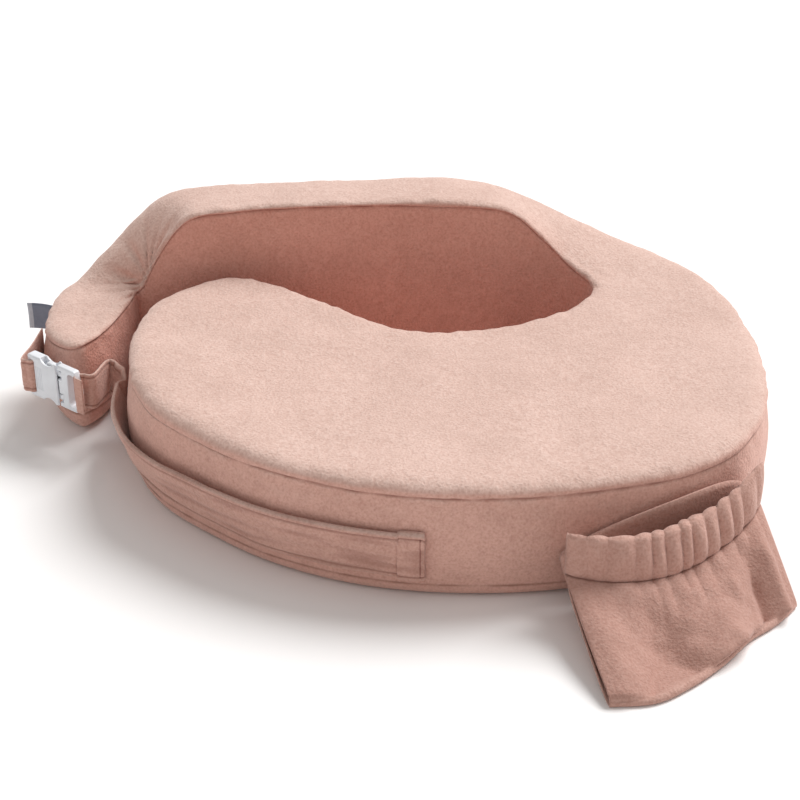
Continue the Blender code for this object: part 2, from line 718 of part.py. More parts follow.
def make_arm_strap(arm, parent, buckle_xy):
    """Short strap from the arm's outer wall round the socket's bar and back on itself."""
    along = Vector((math.cos(BUCKLE_YAW), math.sin(BUCKLE_YAW)))
    inward = Vector((-along.y, along.x))
    mouth = 0.004
    bar_middle = buckle_xy + along * (mouth - SOCKET_LENGTH + 0.0016)
    thick = 0.0016
    turn = BUCKLE_THICK / 2 + GAP * 2 + thick / 2
    sewn = arm.wall_point(ARM_STRAP_RIB, BUCKLE_LIFT, thick / 2 + 7 * GAP)
    outer_side = bar_middle - inward * turn
    inner_side = bar_middle + inward * turn
    slot_middle = bar_middle + along * (0.0016 + 0.0026)
    mid = (Vector((sewn.x, sewn.y)) + outer_side) / 2 - inward * 0.004
    route = [(sewn.x, sewn.y), tuple(mid), tuple(outer_side - along * 0.006), tuple(outer_side),
             tuple(slot_middle - inward * turn * 0.75), tuple(slot_middle),
             tuple(slot_middle + inward * turn * 0.75), tuple(inner_side), tuple(inner_side - along * 0.004)]
    lifted = [(x, y, BUCKLE_LIFT) for x, y in route]
    add_object("arm_strap", ribbon(smooth_route(lifted, 20), BUCKLE_WIDTH - 0.012, thick), "strap", parent)


def make_strap_loop(arm_root, buckle_xy, strap_end):
    """Free run of the strap: from the platform's end to the plug's ring and round its bar."""
    along = Vector((math.cos(BUCKLE_YAW), math.sin(BUCKLE_YAW)))
    inward = Vector((-along.y, along.x))
    thick = 0.0022
    ring_end = 0.004 + 0.0006 + PLUG_REACH
    bar = buckle_xy + along * (ring_end - RING_BAR / 2)
    slot = buckle_xy + along * (ring_end - RING_BAR - 0.0042)
    turn = PLUG_THICK / 2 + 2 * GAP + thick / 2
    free = Vector((strap_end.x, strap_end.y))
    z_low = strap_end.z
    route = [
        (free.x - 0.0004, free.y + STRAP_BREAK, z_low),
        (free.x - 0.0040, free.y + 0.014, z_low + 0.006),
        (free.x - 0.0130, free.y + 0.019, z_low + 0.012),
        (*(bar + inward * (turn + 0.004) + along * 0.006), BUCKLE_LIFT),
        (*(bar + inward * turn), BUCKLE_LIFT),
        (*(slot + inward * turn * 0.7), BUCKLE_LIFT),
        (*(slot - inward * turn * 0.7), BUCKLE_LIFT),
        (*(bar - inward * turn), BUCKLE_LIFT),
        (*(bar - inward * (turn - 0.001) + along * 0.0050), BUCKLE_LIFT),
    ]
    add_object("strap_loop", ribbon(smooth_route(route, 26), BUCKLE_WIDTH - 0.011, thick), "strap", arm_root)


class Pocket:
    """Slumped bag on the wall. Its sections run from the left side seam to the right one."""

    def __init__(self, base):
        low = base.walk(POCKET_MID_RIB, -POCKET_WIDTH / 2)
        high = base.walk(POCKET_MID_RIB, POCKET_WIDTH / 2)
        self.count = POCKET_STEPS
        self.frames = []
        for k in range(self.count + 1):
            here, out = base.wall_frame(low + (high - low) * k / self.count)
            self.frames.append((here, out))
        self.wall = WALL_BULGE + 2 * GAP

    def place(self, k, shape_out, shape_lift, seam_share, side):
        """Point of the front (side 1) or back (side -1) panel: its own profile in the middle of the
        pocket, closing on the straight side seam at both ends."""
        here, out = self.frames[k]
        s = k / self.count
        lean = (out * 0.1 + POCKET_FALL * 0.9).normalized()
        reach = POCKET_OUT * smooth_value(POCKET_REACH, s * (len(POCKET_REACH) - 1))
        open_share = math.sin(math.pi * s) ** 0.5 if 0 < k < self.count else 0.0
        lift = POCKET_LIFT * (0.93 + 0.34 * s * s) * (POCKET_END + (1.0 - POCKET_END) * open_share)
        seam_out = SIDE_SEAM / 2 + (reach - SIDE_SEAM) * seam_share + side * SIDE_SEAM / 2
        seam_lift = lift * (1.0 - seam_share) + SIDE_SEAM * 0.5 * (1 + side)
        far = seam_out + (reach * shape_out - seam_out) * open_share
        high = seam_lift + (lift * shape_lift - seam_lift) * open_share
        near = min(far, POCKET_NEAR)
        xy = here + out * (self.wall + near) + lean * (far - near)
        return Vector((xy.x, xy.y, POCKET_FLOOR + high))


POCKET_BACK = [(0.02, 1.0, 0.0), (0.02, 0.62, 0.2), (0.03, 0.28, 0.4), (0.12, 0.06, 0.6), (0.50, 0.0, 0.8),
               (0.96, 0.0, 1.0)]
POCKET_FRONT = [(0.32, 0.52, 0.12), (0.47, 0.43, 0.36), (0.66, 0.30, 0.58), (0.85, 0.16, 0.80), (0.99, 0.06, 1.0)]


def make_pocket(base, parent):
    """Bag open at the top, with a gathered elastic hem on its front edge."""
    pocket = Pocket(base)
    bm = bmesh.new()
    loops = []
    for k in range(pocket.count + 1):
        shape = [pocket.place(k, *row, -1) for row in POCKET_BACK]
        shape += [pocket.place(k, *row, 1) for row in reversed(POCKET_FRONT)]
        loops.append([bm.verts.new(p) for p in shape])
    for a, b in zip(loops, loops[1:]):
        for k in range(len(a) - 1):
            bm.faces.new([a[k], b[k], b[k + 1], a[k + 1]])
    for loop in (loops[0], loops[-1]):
        low = 0
        high = len(loop) - 1
        while high - low > 2:
            bm.faces.new([loop[low], loop[low + 1], loop[high - 1], loop[high]])
            low += 1
            high -= 1
        bm.faces.new(loop[low:high + 1])
    bag = add_object("pocket_bag", bm, "cover", parent)
    shell = bag.modifiers.new("cloth", "SOLIDIFY")
    shell.thickness = POCKET_CLOTH
    shell.offset = -1.0
    shell.use_rim = True
    make_hem(pocket, parent)


def make_hem(pocket, parent):
    """Elastic hem: an inverted U of cloth along the mouth, with the elastic inside it."""
    cloth = POCKET_CLOTH
    room = ELASTIC_THICK + 20 * GAP
    half = room / 2 + cloth
    hem_shape = [(-half, 0.0), (-half, HEM_WIDTH - half * 0.6), (-half * 0.5, HEM_WIDTH), (half * 0.5, HEM_WIDTH),
                 (half, HEM_WIDTH - half * 0.6), (half, 0.0), (room / 2, 0.0), (room / 2, HEM_WIDTH - cloth),
                 (-room / 2, HEM_WIDTH - cloth), (-room / 2, 0.0)]
    high = HEM_WIDTH - cloth - 6 * GAP
    low = high - ELASTIC_WIDTH
    thin = ELASTIC_THICK / 2
    elastic_shape = [(-thin, low), (-thin, high), (thin, high), (thin, low)]
    for name, shape, slot in (("pocket_hem", hem_shape, "cover"), ("pocket_elastic", elastic_shape, "elastic")):
        bm = bmesh.new()
        sections = []
        for k in range(pocket.count + 1):
            here, out = pocket.frames[k]
            foot = pocket.place(k, *POCKET_FRONT[0], 1)
            tilt = HEM_TILT * abs(math.sin(math.pi * k / pocket.count)) ** 0.5
            rise_dir = Vector((-out.x * math.sin(tilt), -out.y * math.sin(tilt), math.cos(tilt)))
            side_dir = Vector((out.x * math.cos(tilt), out.y * math.cos(tilt), math.sin(tilt)))
            foot = foot + rise_dir * (12 * GAP + half * math.tan(tilt))
            section = [bm.verts.new(foot + side_dir * across + rise_dir * up) for across, up in shape]
            sections.append(section)
        for a, b in zip(sections, sections[1:]):
            for k in range(len(a)):
                n = (k + 1) % len(a)
                bm.faces.new([a[k], a[n], b[n], b[k]])
        bm.faces.new(sections[0])
        bm.faces.new(sections[-1][::-1])
        add_object(name, bm, slot, parent)


def back_face(base, height):
    """Just clear of the back wall's rearmost point up to this height."""
    ribs = [t for t in base.stations() if 22 < t < 26]
    return max(base.wall_point(t, height, 2 * GAP).y for t in ribs)


def make_zip(base, parent):
    """Zip on the back wall: two tapes, the teeth, end stops, the slider and its pull."""
    face = back_face(base, ZIP_LIFT + TEETH_WIDTH / 2 + TAPE_WIDTH)
    low_x = ZIP_CENTRE_X - ZIP_LENGTH / 2
    high_x = ZIP_CENTRE_X + ZIP_LENGTH / 2
    gap_half = TEETH_WIDTH / 2 + GAP
    for word, sign in (("upper", 1), ("lower", -1)):
        near = ZIP_LIFT + sign * gap_half
        far = ZIP_LIFT + sign * (gap_half + TAPE_WIDTH)
        bm = bmesh.new()
        rounded_box(bm, (low_x, face, min(near, far)), (high_x, face + TAPE_THICK, max(near, far)), 0.0)
        add_object("zip_tape_" + word, bm, "zip_tape", parent, smooth=False)
    bm = bmesh.new()
    count = int(ZIP_LENGTH / TOOTH_PITCH)
    low = []
    high = []
    for k in range(count):
        for share, bump in ((0.1, 0.0), (0.3, 1.0), (0.7, 1.0), (0.9, 0.0)):
            x = low_x + (k + share) * TOOTH_PITCH
            out = face + TEETH_THICK * (0.62 + 0.38 * bump)
            low.append((x, out))
    back = [(x, face) for x, out in low]
    for z in (ZIP_LIFT - TEETH_WIDTH / 2, ZIP_LIFT + TEETH_WIDTH / 2):
        high.append([bm.verts.new((x, y, z)) for x, y in low] + [bm.verts.new((back[-1][0], back[-1][1], z)),
                                                                bm.verts.new((back[0][0], back[0][1], z))])
    bm.faces.new(high[0])
    bm.faces.new(high[1][::-1])
    for k in range(len(high[0])):
        n = (k + 1) % len(high[0])
        bm.faces.new([high[0][k], high[0][n], high[1][n], high[1][k]])
    add_object("zip_teeth", bm, "zip_teeth", parent, smooth=False)
    for word, x in (("start", low_x - 0.0035), ("end", high_x + 0.0005)):
        bm = bmesh.new()
        rounded_box(bm, (x, face, ZIP_LIFT - 0.0035), (x + 0.0030, face + TEETH_THICK, ZIP_LIFT + 0.0035), 0.0005)
        add_object("zip_stop_" + word, bm, "zip_teeth", parent)
    slider_x = high_x - SLIDER_LENGTH / 2 - 0.001
    under = face + TEETH_THICK + 0.0004
    root = make_empty("slider_root", (slider_x, under, ZIP_LIFT), parent)
    bm = bmesh.new()
    half = SLIDER_LENGTH / 2
    wide = SLIDER_WIDTH / 2
    rounded_box(bm, (-half, 0.0, -wide), (half, 0.0020, wide), 0.0006, 1)
    slider = add_object("zip_slider", bm, "zip_teeth", root)
    cut_with(slider, "add_slider_bridge", (-0.0030, 0.0010, -0.0012), (0.0030, 0.0042, 0.0012), "UNION")
    cut_with(slider, "cut_slider_bridge", (-0.0012, 0.0022, -0.0100), (0.0012, 0.0034, 0.0100))
    pull_root = make_empty("pull_root", (0.0, 0.0028, 0.0), root)
    bm = bmesh.new()
    thin = PULL_THICK / 2
    rounded_box(bm, (-thin, -thin, -0.0022), (thin, thin, 0.0022), 0.0)
    pull = add_object("zip_pull", bm, "zip_teeth", pull_root)
    for word, z in (("lower", -1), ("upper", 1)):
        low_z, high_z = sorted((z * 0.0016, z * 0.0026))
        cut_with(pull, "add_pull_cheek_" + word, (-0.0046, -thin, low_z), (thin, thin, high_z), "UNION")
    cut_with(pull, "add_pull_tab", (-PULL_LENGTH, -thin, -0.0030), (-0.0040, thin, 0.0030), "UNION")
    return root, pull_root


def make_tag(arm, parent):
    """Plain folded tag in the arm's outer seam."""
    start = arm.wall_point(TAG_RIB, 0.066, 7 * GAP)
    end = arm.wall_point(TAG_RIB + 0.06, 0.068, TAG_REACH)
    route = [(start.x, start.y, start.z), ((start.x + end.x) / 2, (start.y + end.y) / 2 + 0.002, 0.067),
             (end.x, end.y, end.z)]
    add_object("side_tag", ribbon(smooth_route(route, 6), TAG_HEIGHT, TAG_THICK), "tag", parent)


def make_care_label(base, parent):
    """Blank care label on the back wall beside the zip."""
    face = back_face(base, LABEL_LIFT + LABEL_LENGTH)
    x = ZIP_CENTRE_X - ZIP_LENGTH / 2 - 0.010 - LABEL_WIDTH
    bm = bmesh.new()
    rounded_box(bm, (x, face, LABEL_LIFT), (x + LABEL_WIDTH, face + 0.0006, LABEL_LIFT + LABEL_LENGTH), 0.0)
    add_object("care_label", bm, "label", parent, smooth=False)


def centre_on_origin(root):
    """Move the whole pillow so that its box is centred on x and y and stands on z = 0."""
    bpy.context.view_layer.update()
    graph = bpy.context.evaluated_depsgraph_get()
    low = Vector((1e9, 1e9, 1e9))
    high = Vector((-1e9, -1e9, -1e9))
    for obj in bpy.data.objects:
        if obj.type != "MESH" or obj.hide_render:
            continue
        shape = obj.evaluated_get(graph)
        for vertex in shape.data.vertices:
            place = shape.matrix_world @ vertex.co
            low = Vector(map(min, low, place))
            high = Vector(map(max, high, place))
    root.location = (-(low.x + high.x) / 2, -(low.y + high.y) / 2, -low.z)
    bpy.context.view_layer.update()


def main():
    clear_scene()
    root = make_empty("pillow_root")
    base = Ring(BASE_RIBS, True, LOBE_END_BULGE, BASE_STEPS)
    arm = Ring(ARM_RIBS, False, ARM_END_BULGE, ARM_STEPS)
    base_root = make_empty("base_root", parent=root)
    slit = (arm.inner[-1] - arm.outer[-1]).normalized()
    hinge = arm.outer[-1] - slit * (WALL_BULGE + 0.001)
    arm_root = make_empty("arm_root", (hinge.x, hinge.y, 0.0), root)
    away = Vector((slit.y, -slit.x)) * HINGE_GAP
    if away.y > 0:
        away = -away
    arm_frame = make_empty("arm_frame", (-hinge.x + away.x, -hinge.y + away.y, 0.0), arm_root)
    make_base(base, base_root)
    strap_end = make_wrap_strap(base, base_root)
    make_pocket(base, base_root)
    make_zip(base, base_root)
    make_care_label(base, base_root)
    make_arm(arm, arm_frame)
    frame, plug_root, buckle_xy = make_buckle(arm, arm_frame)
    make_arm_strap(arm, arm_frame, buckle_xy)
    make_strap_loop(arm_frame, buckle_xy, strap_end)
    make_tag(arm, arm_frame)
    centre_on_origin(root)


main()
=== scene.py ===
# %% [markdown]
# # A wrap-around nursing pillow
# The real pillow is a C of firm foam in a zipped plush cover. A raised back closes the C behind the
# waist, a short arm bends open at the side, and a strap of the same plush runs to a white buckle.
# The physics frame gives every place and size. Each cell below makes one piece over that frame.

# %% load the frame
import json
import math
import random

import bpy
import numpy as np
from mathutils import Matrix, Vector, noise
from mathutils.bvhtree import BVHTree
from mathutils.kdtree import KDTree


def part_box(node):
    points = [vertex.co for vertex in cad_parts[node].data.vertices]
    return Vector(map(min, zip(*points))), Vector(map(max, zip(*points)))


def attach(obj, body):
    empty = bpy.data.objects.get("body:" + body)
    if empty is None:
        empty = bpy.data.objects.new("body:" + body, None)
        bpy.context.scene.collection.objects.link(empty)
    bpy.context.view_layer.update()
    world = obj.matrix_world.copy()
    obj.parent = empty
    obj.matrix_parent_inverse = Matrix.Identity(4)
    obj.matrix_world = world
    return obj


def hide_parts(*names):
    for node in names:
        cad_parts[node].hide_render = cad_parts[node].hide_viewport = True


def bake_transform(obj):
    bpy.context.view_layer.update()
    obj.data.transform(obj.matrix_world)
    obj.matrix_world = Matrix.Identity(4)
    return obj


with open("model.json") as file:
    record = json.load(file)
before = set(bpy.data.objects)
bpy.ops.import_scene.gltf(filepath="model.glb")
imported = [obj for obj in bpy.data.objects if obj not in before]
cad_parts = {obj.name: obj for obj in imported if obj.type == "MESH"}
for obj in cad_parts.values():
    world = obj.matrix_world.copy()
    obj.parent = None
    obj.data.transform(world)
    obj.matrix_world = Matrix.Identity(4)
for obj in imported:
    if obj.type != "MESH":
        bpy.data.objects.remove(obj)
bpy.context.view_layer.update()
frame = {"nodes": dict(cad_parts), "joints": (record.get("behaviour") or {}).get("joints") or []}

print("frame nodes:", len(frame["nodes"]))

# %% [markdown]
# ## Small helpers
# Soft goods are grids of points, so most pieces start from rows and columns of places. The hard
# pieces are modelled by hand, with primitives and edit tools, so a few helpers choose faces in code.

# %% helpers for objects
MM = 0.001


def deselect():
    if bpy.context.mode != "OBJECT":
        bpy.ops.object.mode_set(mode="OBJECT")
    bpy.ops.object.select_all(action="DESELECT")


def take(obj):
    """Make this the one selected, active object."""
    deselect()
    obj.select_set(True)
    bpy.context.view_layer.objects.active = obj
    return obj


def apply_steps(obj):
    """Apply every modifier from the top of the stack down."""
    take(obj)
    for step in list(obj.modifiers):
        bpy.ops.object.modifier_apply(modifier=step.name)
    return obj


def settle(obj):
    """Move an object's place into its mesh, so that it sits at the origin, unturned and unscaled."""
    take(obj)
    bpy.ops.object.transform_apply(location=True, rotation=True, scale=True)
    return obj


def new_piece(name, points, faces, finish):
    mesh = bpy.data.meshes.new(name)
    mesh.from_pydata([tuple(map(float, p)) for p in points], [], faces)
    mesh.validate()
    mesh.materials.append(finish)
    mesh.shade_smooth()
    obj = bpy.data.objects.new(name, mesh)
    bpy.context.scene.collection.objects.link(obj)
    return obj


def places(obj):
    co = np.empty(len(obj.data.vertices) * 3)
    obj.data.vertices.foreach_get("co", co)
    return co.reshape(-1, 3)


def move_to(obj, co):
    obj.data.vertices.foreach_set("co", co.ravel())
    obj.data.update()


def normals(obj):
    out = np.empty(len(obj.data.vertices) * 3)
    obj.data.vertices.foreach_get("normal", out)
    return out.reshape(-1, 3)


def face_out(obj):
    """Point every face outwards."""
    take(obj)
    bpy.ops.object.mode_set(mode="EDIT")
    bpy.ops.mesh.select_all(action="SELECT")
    bpy.ops.mesh.normals_make_consistent(inside=False)
    bpy.ops.object.mode_set(mode="OBJECT")
    return obj


def mark(obj, name, values):
    """Store one number per point, for a material to read."""
    attribute = obj.data.attributes.get(name) or obj.data.attributes.new(name, "FLOAT", "POINT")
    attribute.data.foreach_set("value", np.asarray(values, np.float32))


def mark_painted_top_light(obj, most=1.0):
    """Store painted top light: how far each point faces up, from 0 on a wall to the most on a top."""
    up = normals(obj)[:, 2]
    mark(obj, "painted_top_light", most * np.clip((up - 0.15) / 0.7, 0.0, 1.0))


def ripple(places_, size, seed):
    """Smooth noise at each place, with features of this size."""
    shift = Vector((seed * 7.3, seed * 3.1, seed * 5.7))
    return np.array([noise.noise(Vector(p) / size + shift) for p in places_])


# %% [markdown]
# ## Finishes
# The cover is short-pile plush. Its pile leans in patches, so it is mottled at two scales, and it has a
# pale sheen at a glancing angle. Painted shade makes it darker and redder in the seams, stitch rows
# and creases, on the cover's inner wall and down the pocket's front. Where a piece faces up, a paler
# colour is painted in as light on the top: each piece stores how far it faces up.

# %% plush finish
def nodes_of(name):
    mat = bpy.data.materials.new(name)
    mat.use_nodes = True
    tree = mat.node_tree
    return mat, tree, tree.nodes["Principled BSDF"]


def noise_node(tree, coords, scale, detail=2.0, rough=0.55):
    made = tree.nodes.new("ShaderNodeTexNoise")
    made.inputs["Scale"].default_value = scale
    made.inputs["Detail"].default_value = detail
    made.inputs["Roughness"].default_value = rough
    tree.links.new(coords, made.inputs["Vector"])
    return made.outputs["Fac"]


def ramp_node(tree, fac, stops):
    made = tree.nodes.new("ShaderNodeValToRGB")
    made.color_ramp.elements[0].position = stops[0][0]
    made.color_ramp.elements[0].color = stops[0][1]
    made.color_ramp.elements[1].position = stops[-1][0]
    made.color_ramp.elements[1].color = stops[-1][1]
    for place, colour in stops[1:-1]:
        made.color_ramp.elements.new(place).color = colour
    tree.links.new(fac, made.inputs["Fac"])
    return made.outputs["Color"]


def mix_node(tree, fac, a, b, mode="MIX"):
    made = tree.nodes.new("ShaderNodeMix")
    made.data_type = "RGBA"
    made.blend_type = mode
    for socket, value in ((made.inputs["Factor"], fac), (made.inputs["A"], a), (made.inputs["B"], b)):
        if isinstance(value, (float, tuple)):
            socket.default_value = value
        else:
            tree.links.new(value, socket)
    return made.outputs["Result"]


def sum_node(tree, a, b, operation="ADD"):
    made = tree.nodes.new("ShaderNodeMath")
    made.operation = operation
    for socket, value in ((made.inputs[0], a), (made.inputs[1], b)):
        if isinstance(value, float):
            socket.default_value = value
        else:
            tree.links.new(value, socket)
    return made.outputs["Value"]


def bump_node(tree, height, distance, strength, below=None):
    made = tree.nodes.new("ShaderNodeBump")
    made.inputs["Distance"].default_value = distance
    made.inputs["Strength"].default_value = strength
    tree.links.new(height, made.inputs["Height"])
    if below is not None:
        tree.links.new(below, made.inputs["Normal"])
    return made.outputs["Normal"]


PILE_LIGHT = (0.725, 0.440, 0.368, 1.0)
PILE_MIDDLE = (0.670, 0.390, 0.320, 1.0)
PILE_DARK = (0.600, 0.330, 0.268, 1.0)
# a paler tint painted where a piece faces up, as light on its top
PAINTED_TOP_LIGHT_TINT = (1.03, 1.25, 1.31, 1.0)
# a dark red painted as shade in seams, stitch rows and creases, and down the pocket's front
PAINTED_SHADE_DARK = (0.230, 0.085, 0.060, 1.0)


def plush(name, shade=1.0, inside=False):
    mat, tree, shader = nodes_of(name)
    coords = tree.nodes.new("ShaderNodeTexCoord").outputs["Object"]
    tufts = noise_node(tree, coords, 480.0, 3.0, 0.6)
    naps = noise_node(tree, coords, 120.0, 2.0, 0.5)
    brushed = noise_node(tree, coords, 16.0, 3.0, 0.55)
    fibre = noise_node(tree, coords, 2400.0, 1.0, 0.5)
    light, middle, dark = [tuple(v * shade for v in c[:3]) + (1.0,)
                           for c in (PILE_LIGHT, PILE_MIDDLE, PILE_DARK)]
    colour = ramp_node(tree, tufts, [(0.32, dark), (0.50, middle), (0.68, light)])
    lean = sum_node(tree, sum_node(tree, naps, 0.4, "MULTIPLY"), sum_node(tree, brushed, 0.6, "MULTIPLY"))
    patch = ramp_node(tree, lean, [(0.38, (0.93, 0.91, 0.90, 1.0)), (0.62, (1.04, 1.04, 1.04, 1.0))])
    colour = mix_node(tree, 1.0, colour, patch, "MULTIPLY")
    # paint a paler colour where the piece faces up, as light falling on the top
    painted_top_light = tree.nodes.new("ShaderNodeAttribute")
    painted_top_light.attribute_name = "painted_top_light"
    colour = mix_node(tree, painted_top_light.outputs["Fac"], colour, mix_node(tree, 1.0, colour, PAINTED_TOP_LIGHT_TINT, "MULTIPLY"))
    # paint shade, darker and redder, in the seams, stitch rows and creases and down the pocket's front
    seam = tree.nodes.new("ShaderNodeAttribute")
    seam.attribute_name = "seam"
    colour = mix_node(tree, sum_node(tree, seam.outputs["Fac"], 0.85, "MULTIPLY"), colour, PAINTED_SHADE_DARK)
    # paint shade on the cover's inner wall, a darker and redder copy of the colour
    if inside:
        hollow = tree.nodes.new("ShaderNodeAttribute")
        hollow.attribute_name = "inside"
        colour = mix_node(tree, hollow.outputs["Fac"], colour,
                          mix_node(tree, 1.0, colour, (1.0, 0.86, 0.83, 1.0), "MULTIPLY"))
    tree.links.new(colour, shader.inputs["Base Color"])
    bump = bump_node(tree, naps, 1.5 * MM, 0.45)
    bump = bump_node(tree, tufts, 1.1 * MM, 0.75, bump)
    bump = bump_node(tree, fibre, 0.3 * MM, 0.35, bump)
    tree.links.new(bump, shader.inputs["Normal"])
    shader.inputs["Roughness"].default_value = 0.95
    shader.inputs["Specular IOR Level"].default_value = 0.15
    shader.inputs["Sheen Weight"].default_value = 0.30
    shader.inputs["Sheen Roughness"].default_value = 0.45
    shader.inputs["Sheen Tint"].default_value = (1.0, 0.90, 0.86, 1.0)
    return mat


PLUSH_COVER = plush("plush_cover", 1.0, True)
PLUSH_STRAP = plush("plush_strap", 0.93)
# the pocket's copy is darker, as painted shade
PLUSH_POCKET_SHADED = plush("plush_pocket_shaded", 0.84)
print("plush finishes:", PLUSH_COVER.name, PLUSH_STRAP.name, PLUSH_POCKET_SHADED.name)

# %% finishes for plastic, woven and knitted pieces
def moulded(name, colour, rough):
    mat, tree, shader = nodes_of(name)
    coords = tree.nodes.new("ShaderNodeTexCoord").outputs["Object"]
    grain = noise_node(tree, coords, 900.0, 2.0)
    flow = noise_node(tree, coords, 60.0, 2.0)
    dull = tuple(0.93 * v for v in colour[:3]) + (1.0,)
    tree.links.new(ramp_node(tree, flow, [(0.35, dull), (0.65, colour)]), shader.inputs["Base Color"])
    smoother = (rough - 0.06,) * 3 + (1.0,)
    rougher = (rough + 0.08,) * 3 + (1.0,)
    tree.links.new(ramp_node(tree, grain, [(0.3, smoother), (0.7, rougher)]),
                   shader.inputs["Roughness"])
    tree.links.new(bump_node(tree, grain, 0.05 * MM, 0.25), shader.inputs["Normal"])
    shader.inputs["Subsurface Weight"].default_value = 0.08
    shader.inputs["Subsurface Radius"].default_value = (0.002, 0.002, 0.002)
    return mat


def woven(name, colour, pitch, depth=0.12):
    """Plain weave: two crossed waves, along the piece and up it."""
    mat, tree, shader = nodes_of(name)
    coords = tree.nodes.new("ShaderNodeTexCoord").outputs["Object"]
    waves = []
    for axis in ("X", "Z"):
        wave = tree.nodes.new("ShaderNodeTexWave")
        wave.bands_direction = axis
        wave.inputs["Scale"].default_value = math.pi / (10.0 * pitch)
        wave.inputs["Distortion"].default_value = 0.6
        tree.links.new(coords, wave.inputs["Vector"])
        waves.append(wave.outputs["Fac"])
    cloth = sum_node(tree, waves[0], waves[1], "MULTIPLY")
    dark = tuple(0.72 * v for v in colour[:3]) + (1.0,)
    worn = [(0.3, (0.9, 0.9, 0.9, 1.0)), (0.7, (1.0, 1.0, 1.0, 1.0))]
    tint = ramp_node(tree, noise_node(tree, coords, 260.0), worn)
    colour = mix_node(tree, 1.0, ramp_node(tree, cloth, [(0.05, dark), (0.6, colour)]), tint, "MULTIPLY")
    tree.links.new(colour, shader.inputs["Base Color"])
    tree.links.new(bump_node(tree, cloth, depth * MM, 0.6), shader.inputs["Normal"])
    shader.inputs["Roughness"].default_value = 0.75
    shader.inputs["Sheen Weight"].default_value = 0.1
    return mat


BUCKLE_WHITE = moulded("buckle_white", (0.80, 0.82, 0.86, 1.0), 0.34)
ZIP_ROSE = moulded("zip_rose", (0.62, 0.33, 0.26, 1.0), 0.38)
TAG_GREY = woven("tag_grey", (0.26, 0.29, 0.37, 1.0), 0.8 * MM)
TAG_PALE = woven("tag_pale", (0.62, 0.65, 0.72, 1.0), 0.8 * MM)
LABEL_WHITE = woven("label_white", (0.86, 0.86, 0.84, 1.0), 0.5 * MM, 0.05)
ZIP_TAPE = woven("zip_tape_rose", (0.50, 0.25, 0.19, 1.0), 0.9 * MM)
KNIT_WHITE = woven("elastic_white", (0.78, 0.77, 0.75, 1.0), 1.2 * MM)
THREAD = moulded("seam_thread", (0.30, 0.12, 0.09, 1.0), 0.7)
THREAD_LIGHT = moulded("topstitch_thread", (0.42, 0.19, 0.14, 1.0), 0.7)
print("plain finishes:", len(bpy.data.materials))

# %% [markdown]
# ## Camera, light and floor
# The pillow is seen a little from the left of its front, from above. A wide soft light stands high
# at the back right, so the wall nearest to us is in gentle shade, and the floor is nearly white.

# %% camera, floor and light
edge_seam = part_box("cover_outer_band")
BULGE = 5.0 * MM
RING_RIGHT = 0.30404 + BULGE
RING_FRONT = -0.22703 - BULGE
ORIGIN = Vector((edge_seam[1].x - RING_RIGHT, edge_seam[0].y - RING_FRONT, 0.0))
print("ring centre in the frame:", [round(v, 4) for v in ORIGIN])

eye = bpy.data.cameras.new("eye")
eye.lens = 79.1
eye.sensor_width = 36.0
camera = bpy.data.objects.new("camera", eye)
camera.location = ORIGIN + Vector((-0.11434, -1.30694, 0.77721))
aim = ORIGIN + Vector((0.0, 0.0, 0.05))
camera.rotation_euler = (aim - camera.location).to_track_quat("-Z", "Y").to_euler()
bpy.context.scene.collection.objects.link(camera)
bpy.context.scene.camera = camera

deselect()
bpy.ops.mesh.primitive_plane_add(size=16.0, location=(0.0, 0.0, -0.2 * MM))
floor = settle(bpy.context.object)
floor.name = "floor"
floor_finish, floor_tree, floor_shader = nodes_of("floor_paper")
floor_coords = floor_tree.nodes.new("ShaderNodeTexCoord").outputs["Object"]
floor_tree.links.new(ramp_node(floor_tree, noise_node(floor_tree, floor_coords, 3.0),
                               [(0.3, (0.93, 0.92, 0.915, 1.0)), (0.7, (0.95, 0.945, 0.94, 1.0))]),
                     floor_shader.inputs["Base Color"])
floor_shader.inputs["Roughness"].default_value = 0.9
floor.data.materials.append(floor_finish)

sun = bpy.data.objects.new("key_light", bpy.data.lights.new("key_light", "SUN"))
sun.data.energy = 3.05
sun.data.angle = math.radians(32.0)
SUN_FROM = Vector((0.70, 0.58, 1.0))
sun.rotation_euler = (-SUN_FROM).to_track_quat("-Z", "Y").to_euler()
bpy.context.scene.collection.objects.link(sun)
sky = bpy.data.worlds.new("studio")
sky.use_nodes = True
sky.node_tree.nodes["Background"].inputs["Color"].default_value = (1.0, 0.975, 0.955, 1.0)
sky.node_tree.nodes["Background"].inputs["Strength"].default_value = 0.52
bpy.context.scene.world = sky
bpy.context.scene.view_settings.view_transform = "Standard"
print("camera", [round(v, 3) for v in camera.location])

# %% [markdown]
# ## The ring's pattern
# A pillow like this is drafted as ribs laid across the ring: where each meets the outer seam, where
# it meets the inner seam, and how high the top stands there. Smooth curves through the ribs give the
# plan. The rows follow the frame's own cover, from the free end of the platform to the arm's end.

